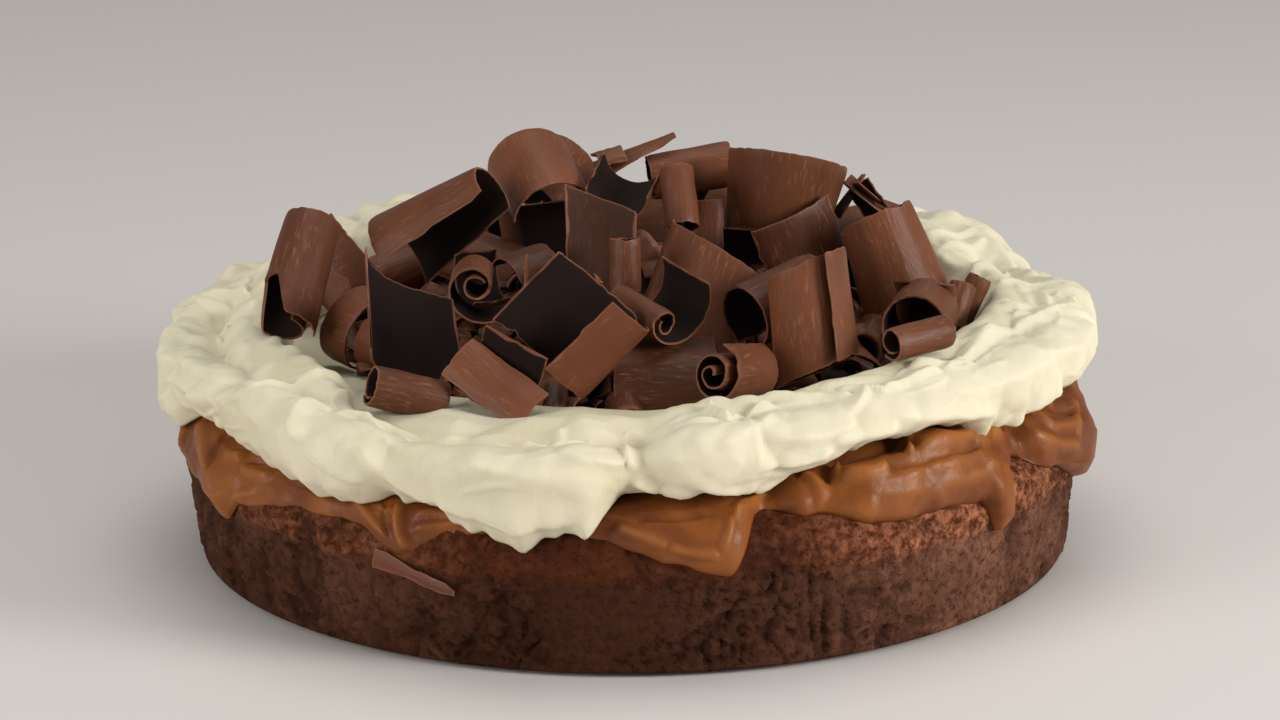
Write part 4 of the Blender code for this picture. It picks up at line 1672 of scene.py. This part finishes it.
    def hollow(self, station: int, bearing: float) -> float:
        """Find how much painted shade a point gets between the dollops, from 0 to 1.

        Args:
            station: The point's number along the section.
            bearing: Its bearing.

        Returns:
            The share.
        """
        # The underside and the basin floor under the heap take the full painted shade.
        if not self.under_count < station <= self.under_count + self.face_count:
            return 1.0
        return self.relief(station - self.under_count, bearing)[1]

    def build(self) -> bpy.types.Object:
        """Make the cream.

        Returns:
            The piece.
        """
        mesh = turned_mesh(
            "cream_ring",
            self.under_count + self.face_count + self.floor_count + 2,
            self.steps,
            self.place,
            {"hollow": self.hollow},
        )
        return add_piece(mesh, self.finish.material(), "whipped_cream")

    def __hash__(self) -> int:
        """Tell this ring from another, so that its section can be kept."""
        return id(self)


# The chocolate curls


@dataclass(frozen=True)
class Roll:
    """A shaving of chocolate: a strip rolled about its own axis.

    The axis points along heading, a bearing, and climbs by climb. face is the way that the
    middle of the strip bulges, counted round the axis, with 90 as up. The radius of the roll
    grows from inner to outer while the strip turns through turn, or, in a folded curl, goes
    through arcs of (turn, radius). tone is how light its outside is: partly its own milkier
    colour, partly painted light and shade. lit is how much of that painted light its near black
    inside has. bites are torn out of it: (side, middle and half width as shares of its
    length, depth).
    """

    node: str
    heading: float
    climb: float
    face: float
    width: float
    inner: float = 0.0
    outer: float = 0.0
    turn: float = 0.0
    bloom: float = 1.0
    flare: float = 0.0
    slide: float = 0.0
    lean: tuple = (0.0, 0.0)
    arcs: tuple = ()
    tone: float = 0.75
    lit: float = 0.0
    bites: tuple = ()


@dataclass(frozen=True)
class ShavedStrip:
    """How a strip of chocolate is cut: its thickness, its torn edges and its mesh."""

    thickness: float = 0.0009
    edge_share: float = 0.5
    edge: tuple = (0.0, 0.0004, 0.0013)
    edge_taper: float = 0.0016
    least_flank: float = 0.05
    tear: float = 0.0005
    tear_waves: float = 240
    notch: float = 0.0012
    notch_waves: float = 130
    notch_from: float = 0.42
    end_tear: float = 0.0011
    end_tear_length: float = 0.003
    ripple: float = 0.00016
    ripple_waves: float = 420
    degrees_a_ring: float = 5.0
    longest_ring: float = 0.0012
    least_rings: int = 12
    across_count: int = 16

    def steps(self, roll: Roll) -> list[tuple[float, float]]:
        """Split the strip into short straight steps.

        Args:
            roll: The roll it makes.

        Returns:
            The turn, in radians, and the length of each.
        """
        if roll.arcs:
            steps = []
            for turn, radius in roll.arcs:
                length = abs(math.radians(turn)) * radius
                count = max(2, round(turn / self.degrees_a_ring), round(length / self.longest_ring))
                steps += [(math.radians(turn) / count, length / count)] * count
            return self.split_ends(steps)
        length = math.radians(abs(roll.turn)) * (roll.inner + roll.outer) / 2
        counts = (self.least_rings, abs(roll.turn) / self.degrees_a_ring, length / self.longest_ring)
        count = round(max(counts))
        turn = math.radians(roll.turn) / count
        growth = roll.outer - roll.inner
        shares = ((index + 0.5) / count for index in range(count))
        radii = (roll.inner + growth * share**roll.bloom for share in shares)
        return self.split_ends([(turn, turn * radius) for radius in radii])

    def split_ends(self, steps: list[tuple[float, float]]) -> list[tuple[float, float]]:
        """Split the first and the last step, so that the strip's ends have a narrow ring.

        Args:
            steps: The turn and the length of each step.

        Returns:
            The steps with both ends split.
        """
        parts = []
        for turn, length in (steps[0], steps[-1]):
            share = min(0.5, self.edge[1] / abs(length))
            parts.append([(turn * share, length * share), (turn * (1 - share), length * (1 - share))])
        return parts[0] + steps[1:-1] + parts[1][::-1]

    def columns(self, width: float) -> list[float]:
        """Find where the strip's points lie across it.

        Args:
            width: The strip's width.

        Returns:
            Places from -0.5 to 0.5, closer together at the edges.
        """
        inner = self.across_count - 4
        if inner < 2:
            return [index / self.across_count - 0.5 for index in range(self.across_count + 1)]
        edge = [place / width for place in self.edge]
        middle = [edge[-1] + (1 - 2 * edge[-1]) * index / inner for index in range(1, inner)]
        return [place - 0.5 for place in (*edge, *middle, *(1 - place for place in reversed(edge)))]

    def line(self, roll: Roll) -> list[tuple[Vector, Vector, float]]:
        """Follow the strip seen along the roll's axis.

        Args:
            roll: The roll it makes.

        Returns:
            For each ring: the point (y, z), the unit normal away from the axis and the length
            of strip up to there.
        """
        steps = self.steps(roll)
        outward = math.radians(roll.face) - sum(turn for turn, length in steps) / 2
        point = Vector((0.0, 0.0))
        line = [(point.copy(), Vector((math.cos(outward), math.sin(outward))), 0.0)]
        gone = 0.0
        for turn, length in steps:
            outward += turn / 2
            point = point + Vector((-math.sin(outward), math.cos(outward))) * length
            outward += turn / 2
            gone += abs(length)
            line.append((point.copy(), Vector((math.cos(outward), math.sin(outward))), gone))
        axes = zip(*(point for point, *rest in line))
        middle = Vector((min(values) + max(values)) / 2 for values in axes)
        return [(point - middle, normal, length) for point, normal, length in line]

    def torn(self, gone: float, side: int, luck: float) -> float:
        """Find how far the strip's edge is torn in at a length along it.

        Args:
            gone: The length along the strip, in metres.
            side: 1 for one edge of the strip and -1 for the other.
            luck: A number that differs from curl to curl.

        Returns:
            The depth of the tear in metres.
        """
        spot = Vector((gone * self.tear_waves, side * 3.1, luck))
        ragged = self.tear * abs(noise.fractal(spot, 0.8, 2.1, 4))
        chip = noise.noise(Vector((gone * self.notch_waves, side * 5.3, luck + 9)))
        return ragged + self.notch * smooth_step(4 * (chip - self.notch_from))

    def bitten(self, roll: Roll, share: float, side: int) -> float:
        """Find how much of the strip's half width is left beside its bites.

        Args:
            roll: The roll.
            share: The share of the way along the strip.
            side: 1 or -1, for its edge.

        Returns:
            The share that is left.
        """
        depth = 0.0
        for at, middle, half, deep in roll.bites:
            if at == side:
                depth = max(depth, deep * smooth_step(1.6 * (1 - abs(share - middle) / half)))
        return 1 - 2 * depth / roll.width

    def sleeve(self, rings: int) -> bmesh.types.BMesh:
        """Start a strip as an upright sleeve: its halves are the strip's two sides.

        Args:
            rings: How many rings it has.

        Returns:
            The sleeve.
        """
        bm = bmesh.new()
        bmesh.ops.create_cone(
            bm,
            cap_ends=True,
            cap_tris=True,
            segments=2 * (self.across_count + 1),
            radius1=1,
            radius2=1,
            depth=rings,
        )
        longways = [edge for edge in bm.edges if abs(edge.verts[0].co.z - edge.verts[1].co.z) > 0.5]
        bmesh.ops.subdivide_edges(bm, edges=longways, cuts=rings - 1)
        return bm

    def address(self, spot: Vector, rings: int, columns: list[float]) -> tuple[int, float, int]:
        """Tell which place in the strip a point of the sleeve takes.

        Args:
            spot: The point.
            rings: How many rings the sleeve has.
            columns: Where the strip's points lie across it.

        Returns:
            Its ring, its place across from -0.5 to 0.5, and 1 on the outside, -1 on the inside
            or 0 in the middle of an end.
        """
        ring = min(rings, max(0, round(spot.z + rings / 2)))
        if math.hypot(spot.x, spot.y) < 0.5:
            return ring, 0.0, 0
        points = 2 * len(columns)
        place = round(math.atan2(spot.x, spot.y) / (2 * math.pi) * points) % points
        if place < len(columns):
            return ring, columns[place], 1
        return ring, columns[points - 1 - place], -1

    def lay(self, roll: Roll, line: list, address: tuple[int, float, int], luck: float) -> tuple:
        """Lay a point of the strip in its place in the roll.

        Args:
            roll: The roll.
            line: The strip seen along the roll's axis.
            address: The point's ring, place across and side.
            luck: A number that differs from curl to curl.

        Returns:
            The spot before the roll is turned its own way, the point's place in the flat strip
            and how much it is rim, from 0 to 1.
        """
        ring, across, outwards = address
        point, normal, gone = line[ring]
        share = ring / (len(line) - 1)
        side = 1 if across > 0 else -1
        torn = self.torn(gone, side, luck) * smooth_step(abs(2 * across))
        half = max(0.0, roll.width / 2 - torn) * self.bitten(roll, share, side)
        near_end = min(gone, line[-1][2] - gone)
        ragged = self.end_tear * noise.noise(Vector((across * 5, luck * 2, share * 2)))
        pull = ragged * smooth_step(1 - near_end / self.end_tear_length) * (1 if share > 0.5 else -1)
        lie = 4 * across * half / roll.width
        near_edge = (1 - abs(lie)) * roll.width / 2 / self.edge_taper + self.least_flank
        flank = smooth_step(min(near_end / self.edge_taper, near_edge, 1.0))
        thick = self.thickness * (self.edge_share + (1 - self.edge_share) * flank)
        wave = self.ripple * noise.noise(Vector((gone * self.ripple_waves, across * 3, luck + 4)))
        widened = point * (1 + roll.flare * lie / 2)
        tangent = Vector((-normal.y, normal.x))
        point = widened + normal * (wave + 0.5 * outwards * thick) + tangent * pull
        along = lie * roll.width / 2 + roll.slide * (share - 0.5)
        along += roll.lean[0] * point.x + roll.lean[1] * point.y
        edge = min(near_end, (1 - abs(2 * across)) * roll.width / 2)
        rim = smooth_step(1 - edge / self.edge[1])
        return Vector((along, point.x, point.y)), (gone, lie * roll.width / 2), rim

    def make(self, roll: Roll, centre: Vector, luck: float) -> bmesh.types.BMesh:
        """Make the curl as a thin closed solid, with the middle of its box at a place.

        Args:
            roll: The roll.
            centre: The place.
            luck: A number that differs from curl to curl.

        Returns:
            The curl's bmesh, with its UV map and its points' values.
        """
        line = self.line(roll)
        rings = len(line) - 1
        columns = self.columns(roll.width)
        bm = self.sleeve(rings)
        outside, rim, tone = (bm.verts.layers.float.new(key) for key in ("outside", "rim", "tone"))
        flat: dict[bmesh.types.BMVert, tuple[float, float]] = {}
        turned = Matrix.Rotation(math.radians(roll.heading), 3, "Z")
        turned = turned @ Matrix.Rotation(math.radians(-roll.climb), 3, "Y")
        for vert in bm.verts:
            address = self.address(vert.co, rings, columns)
            spot, flat[vert], vert[rim] = self.lay(roll, line, address, luck)
            vert.co = turned @ spot
            # Inside points take the roll's lit share of the outside colour: painted light on the inside.
            vert[outside] = roll.lit if address[2] < 0 else 1.0
            # The roll's tone: partly its own colour, partly painted light and shade.
            vert[tone] = roll.tone
        low, high = corners(bm)
        bmesh.ops.translate(bm, verts=bm.verts, vec=centre - (low + high) / 2)
        strip = bm.loops.layers.uv.new("strip")
        for loop in (loop for face in bm.faces for loop in face.loops):
            gone, across = flat[loop.vert]
            loop[strip].uv = (gone + luck * 0.1, across + luck * 0.07)
        bmesh.ops.recalc_face_normals(bm, faces=bm.faces)
        return bm


BIG_FOLD_ARCS = ((10, 0.060), (160, 0.0040), (32, 0.046), (24, 0.010))
MIDDLE_CUP_ARCS = ((180, 0.0022), (180, 0.0031), (90, 0.0040), (165, 0.0100))


@dataclass
class Heap:
    """The heap of curls: the big ones in their places over a core of packed shavings."""

    finish: ChocolateFinish = field(default_factory=ChocolateFinish)
    strip: ShavedStrip = field(default_factory=ShavedStrip)
    small_strip: ShavedStrip = ShavedStrip(
        thickness=0.0008, degrees_a_ring=14, longest_ring=0.0022, across_count=4
    )
    core_radius: float = 0.074
    core_height: float = 0.026
    core_slope: float = 1.4
    core_floor: float = 0.0503
    core_lumps: Relief = Relief(160, 0.0012, 0.8, 3)
    core_blocks: float = 0.0018
    core_block_waves: float = 140
    # The core takes mostly the inside's near black: painted shade deep in the heap.
    core_inside: float = 0.15
    core_steps: int = 220
    core_rings: int = 50
    flake_count: int = 440
    sharp_angle: float = 48
    seed: int = 11

    # A low tone paints a curl darker where it lies in shade and a high one lighter where it is lit, over
    # its own colour.
    ROLLS = (
        Roll("curl_back_01", 95, 12, 85, 0.028, 0.0115, 0.014, 230),
        Roll("curl_back_02", -20, 8, 95, 0.03, 0.005, 0.0086, 430),
        Roll("curl_back_03", 40, -8, 100, 0.025, 0.0165, 0.02, 130),
        Roll("curl_back_04", 10, 6, 90, 0.022, 0.0034, 0.0056, 420),
        Roll("curl_back_05", 80, 15, 80, 0.027, 0.009, 0.012, 300),
        Roll("curl_back_06", 140, -4, 95, 0.020, 0.0055, 0.0070, 300),
        Roll("curl_back_07", 30, 12, 70, 0.027, 0.0045, 0.0072, 430),
        Roll("curl_back_08", 110, 5, 95, 0.022, 0.006, 0.0078, 300),
        Roll("curl_back_09", 130, 6, 90, 0.024, 0.0085, 0.0105, 270),
        Roll("curl_back_10", -15, 15, 100, 0.027, 0.0125, 0.015, 200),
        Roll("curl_back_11", 70, -5, 80, 0.025, 0.0045, 0.0075, 430),
        Roll("curl_back_12", 150, 12, 95, 0.022, 0.011, 0.013, 180),
        Roll("curl_front_middle", 6, -4, 112, 0.027, 0.0155, 0.0175, 130, tone=0.35),
        Roll("curl_right_small_tube", 35, 2, 90, 0.018, 0.0026, 0.0045, 420),
        Roll("curl_right_stub", 60, 55, 90, 0.012, 0.003, 0.0035, 330),
        Roll("curl_right_stick", 20, 62, 90, 0.02, 0.0018, 0.0036, 400),
        Roll("curl_left_scroll", -45, -8, 330, 0.01, 0.0084, 0.0112, 560, slide=-0.018),
        Roll(
            "curl_left_tall", 74, 42, -10, 0.033, 0.005, 0.0082, 430, flare=-0.15,
            bites=((-1, 0.61, 0.17, 0.012),), tone=0.45,
        ),
        Roll("curl_left_ribbon", 10, 40, 155, 0.0095, 0.021, 0.023, 85, tone=0.45),
        Roll("curl_left_box", 97, 62, -53, 0.0272, 0.018, 0.0175, 112, slide=0.011),
        Roll("curl_front_left_tube", 15, -18, 90, 0.020, 0.0036, 0.0056, 430, tone=0.45),
        Roll("curl_front_dark_strip", -25, -22, -20, 0.019, 0.012, 0.016, 80),
        Roll("curl_front_panel", -32, -27, 135, 0.0255, 0.0135, 0.0145, 52, tone=0.95),
        Roll("curl_front_scroll", -131, 12, 40, 0.016, 0.0012, 0.0078, 800, slide=-0.003),
        Roll("curl_right_arch", -80, 3, 70, 0.016, 0.01, 0.011, 150, tone=0.6),
        Roll(
            "curl_right_bucket", 178, 70, 0, 0.026, 0.0102, 0.0112, 280, flare=-0.2,
            lean=(0.30, 0.10), tone=0.95,
        ),
        Roll("curl_right_cup", -104, 0, 62, 0.018, 0.0074, 0.0088, 335),
        Roll(
            "curl_front_tall", 175, 84, 248, 0.029, 0.0078, 0.0116, -420, flare=-0.08,
            lean=(0.30, 0.34), tone=1.0,
        ),
        Roll("curl_middle_spire", 90, 74, -92, 0.029, 0.015, 0.019, 66, slide=0.008, lit=0.3),
        Roll("curl_middle_sheet", 52, 56, 96, 0.026, 0.0195, 0.0215, 100, slide=-0.01, tone=1.0),
        Roll("curl_big_fold", 4, 46, -62, 0.0245, arcs=BIG_FOLD_ARCS),
        Roll("curl_middle_roll", -140, -10, 80, 0.025, 0.0078, 0.009, 320, tone=0.3),
        Roll("curl_left_dark_shell", 20, 0, -60, 0.012, 0.009, 0.01, 160),
        Roll("curl_left_shell", 30, 10, 110, 0.013, 0.009, 0.01, 150, tone=0.4),
        Roll("curl_left_small_scroll", -92, 2, 22, 0.016, 0.0028, 0.014, 700, bloom=3.0),
        Roll("curl_middle_cup", -50, -10, 82, 0.019, arcs=MIDDLE_CUP_ARCS),
        Roll("curl_middle_ribs", 90, 78, 90, 0.014, 0.003, 0.0044, 400),
        Roll("curl_right_dark_sheet", 195, 70, 5, 0.018, 0.022, 0.026, 58, tone=0.25),
        Roll("curl_upper_left", -12, 36, 44, 0.033, 0.0085, 0.0112, 236, flare=-0.5, tone=0.8),
        Roll("curl_top_back", 60, 20, 90, 0.022, 0.0105, 0.0125, 190),
        Roll("curl_top_flat", 90, 72, 90, 0.015, 0.01, 0.011, 45),
        Roll(
            "curl_top_big_sheet", 10, 80, 200, 0.022, 0.0145, 0.0155, 220, flare=0.2,
            lean=(-0.32, 0.06),
        ),
        Roll("curl_top_splinter", 150, 48, 180, 0.01, 0.008, 0.01, 50),
        Roll("curl_top_cup", 75, 16, -85, 0.02, 0.008, 0.0088, 180),
        Roll("curl_top_arch", 110, 25, 88, 0.024, 0.0105, 0.0115, 195, tone=0.95),
        Roll("curl_top_tube", 8, 8, 90, 0.023, 0.0045, 0.0064, 420, tone=0.9),
        Roll("curl_top_stub", 100, 55, 90, 0.017, 0.0034, 0.005, 410),
        Roll("curl_top_spike", 6, 24, 110, 0.024, 0.011, 0.012, 28, flare=-1.3),
        Roll("curl_top_chip", 15, 12, 120, 0.009, 0.008, 0.009, 40),
        Roll("curl_stray", -27, -15, 180, 0.024, 0.006, 0.006, 30, flare=-0.8),
    )

    SHARDS = (
        ((0.0590, 0.029, 0.0855), Roll("shard", 30, 50, 250, 0.014, 0.008, 0.008, 52, flare=-0.9)),
        ((0.0630, 0.026, 0.0870), Roll("shard", 160, 38, 270, 0.014, 0.008, 0.008, 48, flare=0.9)),
        ((0.0665, 0.028, 0.0855), Roll("shard", 15, -44, 260, 0.015, 0.008, 0.008, 46, flare=0.8)),
        ((0.0690, 0.026, 0.0840), Roll("shard", 170, 20, 90, 0.013, 0.007, 0.007, 56, flare=-0.8)),
        ((-0.0233, 0.0300, 0.0740), Roll("shard", 0, 8, 0, 0.024, 0.020, 0.020, 64)),
        ((0.0303, 0.0270, 0.0690), Roll("shard", 10, -6, 0, 0.022, 0.018, 0.018, 56)),
        ((0.0590, 0.0300, 0.0620), Roll("shard", -8, 5, 0, 0.020, 0.016, 0.016, 60)),
        ((0.0769, -0.0265, 0.0692), Roll("shard", -14, 0, 0, 0.0165, 0.0092, 0.0092, 128)),
    )

    def core_top(self, radius: float) -> float:
        """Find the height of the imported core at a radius."""
        share = max(0.0, 1 - radius / self.core_radius)
        return self.core_floor + self.core_height * share**self.core_slope

    def place_core(self, station: int, bearing: float) -> Vector:
        """Place a point of the core.

        Args:
            station: The point's number along the section.
            bearing: Its bearing.

        Returns:
            The spot in space.
        """
        if station == 0:
            return Vector((0, 0, self.core_floor))
        share = (station - 1) / self.core_rings
        spot = upright(Vector((self.core_radius * (1 - share), 0)), bearing)
        relief = self.core_lumps.at(spot)
        relief += self.core_blocks * noise.cell(spot * self.core_block_waves)
        relief *= smooth_step(6 * share) if share < 1 else 0
        spot.z = self.core_top(spot.length) + relief
        return spot

    def make_flake(self, draw: random.Random) -> bmesh.types.BMesh:
        """Make one small shaving that lies on the core.

        Args:
            draw: Where its luck comes from.

        Returns:
            The shaving.
        """
        radius = self.core_radius * math.sqrt(draw.uniform(0.0, 1.08))
        spot = upright(Vector((radius, 0)), draw.uniform(0, 360))
        size = draw.uniform(0.0035, 0.0085)
        spot.z = max(self.core_floor, self.core_top(radius)) + 0.25 * size + draw.uniform(0, 0.003)
        roll = Roll(
            "flake",
            heading=draw.uniform(0, 360),
            climb=draw.uniform(-35, 35),
            face=draw.uniform(20, 160),
            width=draw.uniform(0.006, 0.015),
            inner=0.5 * size,
            outer=0.6 * size,
            turn=draw.choice((70, 110, 160, 240, 380)),
            flare=draw.uniform(-0.4, 0.4),
            tone=draw.uniform(0, 0.5),
        )
        return self.small_strip.make(roll, spot, draw.uniform(0, 50))

    def build_core(self, material: bpy.types.Material) -> bpy.types.Object:
        """Make the core of packed shavings, with the small ones that show on it.

        Args:
            material: The chocolate.

        Returns:
            The piece.
        """
        core = turned_mesh(
            "shavings_core",
            self.core_rings + 2,
            self.core_steps,
            self.place_core,
            {"outside": lambda station, bearing: self.core_inside},
        )
        draw = random.Random(self.seed)
        small = [
            self.small_strip.make(roll, Vector(spot), 2.3 * index)
            for index, (spot, roll) in enumerate(self.SHARDS)
        ]
        small += [self.make_flake(draw) for index in range(self.flake_count)]
        whole = bmesh.new()
        for mesh in (core, *(smooth_mesh("flake", flake) for flake in small)):
            whole.from_mesh(mesh)
            bpy.data.meshes.remove(mesh)
        return add_piece(smooth_mesh("packed_shavings", whole), material, "curl_shavings")

    def build_curl(self, roll: Roll, luck: float, material: bpy.types.Material) -> bpy.types.Object:
        """Make one big curl in its node's place, shrunk where it is larger than the node's box.

        Args:
            roll: The curl's roll.
            luck: A number that differs from curl to curl.
            material: The chocolate.

        Returns:
            The piece.
        """
        low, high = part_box(roll.node)
        middle = (low + high) / 2
        bm = self.strip.make(roll, middle, luck)
        start, end = corners(bm)
        scale = [min(1.0, room / size) for room, size in zip(high - low, end - start)]
        bmesh.ops.scale(bm, verts=bm.verts, vec=scale, space=Matrix.Translation(-middle))
        mesh = smooth_mesh(roll.node.replace("curl_", "shaved_"), bm)
        mesh.set_sharp_from_angle(angle=math.radians(self.sharp_angle))
        return add_piece(mesh, material, roll.node)

    def build(self) -> list[bpy.types.Object]:
        """Make the whole heap.

        Returns:
            The heap's pieces.
        """
        material = self.finish.material()
        pieces = [self.build_core(material)]
        pieces += [self.build_curl(roll, 3.7 * index, material) for index, roll in enumerate(self.ROLLS)]
        return pieces


# The stage


class Lamp(Enum):
    """The soft lights: place, what they look at, size, power and colour."""

    WINDOW = ((1.15, -0.58, 0.50), (0.0, 0.0, 0.05), 0.55, 14.5, (1.0, 0.985, 0.96))
    SKY = ((0.05, 0.10, 1.30), (0.0, 0.0, 0.05), 1.00, 5.5, (0.98, 0.99, 1.0))
    FILL = ((-1.05, -0.75, 0.45), (0.0, 0.0, 0.05), 0.80, 8.0, (1.0, 0.985, 0.97))


@dataclass(frozen=True)
class Stage:
    """The floor, the lights and the camera at the photograph's place."""

    distance: float = 1.40
    elevation: float = 18.3
    focal: float = 5166.0
    frame_width: float = 1280.0
    frame_height: float = 720.0
    origin_pixel: tuple = (632.0, 531.4)
    roll: float = -0.35
    sensor: float = 36.0
    floor_size: float = 8.0
    floor_drop: float = 0.0002
    floor_colour: tuple = (0.71, 0.67, 0.64)
    floor_roughness: float = 0.6
    air_colour: tuple = (0.80, 0.78, 0.76)
    air_strength: float = 0.34

    def build_camera(self) -> bpy.types.Object:
        """Put the camera where the photograph was taken from.

        Returns:
            The camera.
        """
        lens = bpy.data.cameras.new("camera")
        lens.sensor_width = self.sensor
        lens.lens = self.focal / self.frame_width * self.sensor
        camera = add_object("camera", lens)
        tilt = math.radians(self.elevation)
        pitch = tilt - math.atan((self.origin_pixel[1] - self.frame_height / 2) / self.focal)
        yaw = math.atan((self.origin_pixel[0] - self.frame_width / 2) / self.focal)
        spot = (0, -self.distance * math.cos(tilt), self.distance * math.sin(tilt))
        camera.matrix_world = (
            Matrix.Translation(spot)
            @ Matrix.Rotation(yaw, 4, "Z")
            @ Matrix.Rotation(math.pi / 2 - pitch, 4, "X")
            @ Matrix.Rotation(math.radians(self.roll), 4, "Z")
        )
        bpy.context.scene.camera = camera
        return camera

    def build_lamp(self, lamp: Lamp) -> bpy.types.Object:
        """Hang one soft light.

        Args:
            lamp: Which one.

        Returns:
            The light.
        """
        place, target, size, power, colour = lamp.value
        data = bpy.data.lights.new(lamp.name.lower(), "AREA")
        data.shape = "DISK"
        data.size = size
        data.energy = power
        data.color = colour
        light = add_object(lamp.name.lower(), data)
        light.location = place
        light.rotation_euler = (Vector(target) - Vector(place)).to_track_quat("-Z", "Y").to_euler()
        return light

    def build_floor(self) -> bpy.types.Object:
        """Lay the plain pale floor.

        Returns:
            The floor.
        """
        bm = bmesh.new()
        bmesh.ops.create_grid(bm, x_segments=1, y_segments=1, size=self.floor_size / 2)
        bmesh.ops.translate(bm, verts=bm.verts, vec=(0, 0, -self.floor_drop))
        floor = add_object("floor", smooth_mesh("floor", bm))
        nodes = Nodes("pale_floor")
        nodes.set(Base_Color=(*self.floor_colour, 1.0), Roughness=self.floor_roughness)
        floor.data.materials.append(nodes.material)
        floor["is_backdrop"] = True
        return floor

    def build(self) -> None:
        """Set the whole stage."""
        self.build_camera()
        self.build_floor()
        for lamp in Lamp:
            self.build_lamp(lamp)
        world = bpy.data.worlds.new("studio")
        bpy.context.scene.world = world
        world.use_nodes = True
        background = world.node_tree.nodes["Background"]
        background.inputs["Color"].default_value = (*self.air_colour, 1.0)
        background.inputs["Strength"].default_value = self.air_strength
        bpy.context.scene.view_settings.view_transform = "Standard"


def main() -> None:
    """Build every piece and report it."""
    logging.basicConfig(level=logging.INFO, format="%(name)s: %(message)s")
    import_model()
    cad_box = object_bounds()
    Stage().build()
    cake = Cake()
    spread = DulceDeLeche(outline=cake.outline)
    cream = WhippedCream(spread=spread, outline=cake.outline)
    pieces = [cake.build(), spread.build(), cream.build(), *Heap().build()]
    for piece in pieces:
        log.info("%s has %d faces", piece.name, len(piece.data.polygons))
    boxes = {"cad": cad_box, "visual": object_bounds()}
    {key: [list(corner) for corner in box] for key, box in boxes.items()}


if __name__ == "__main__":
    main()
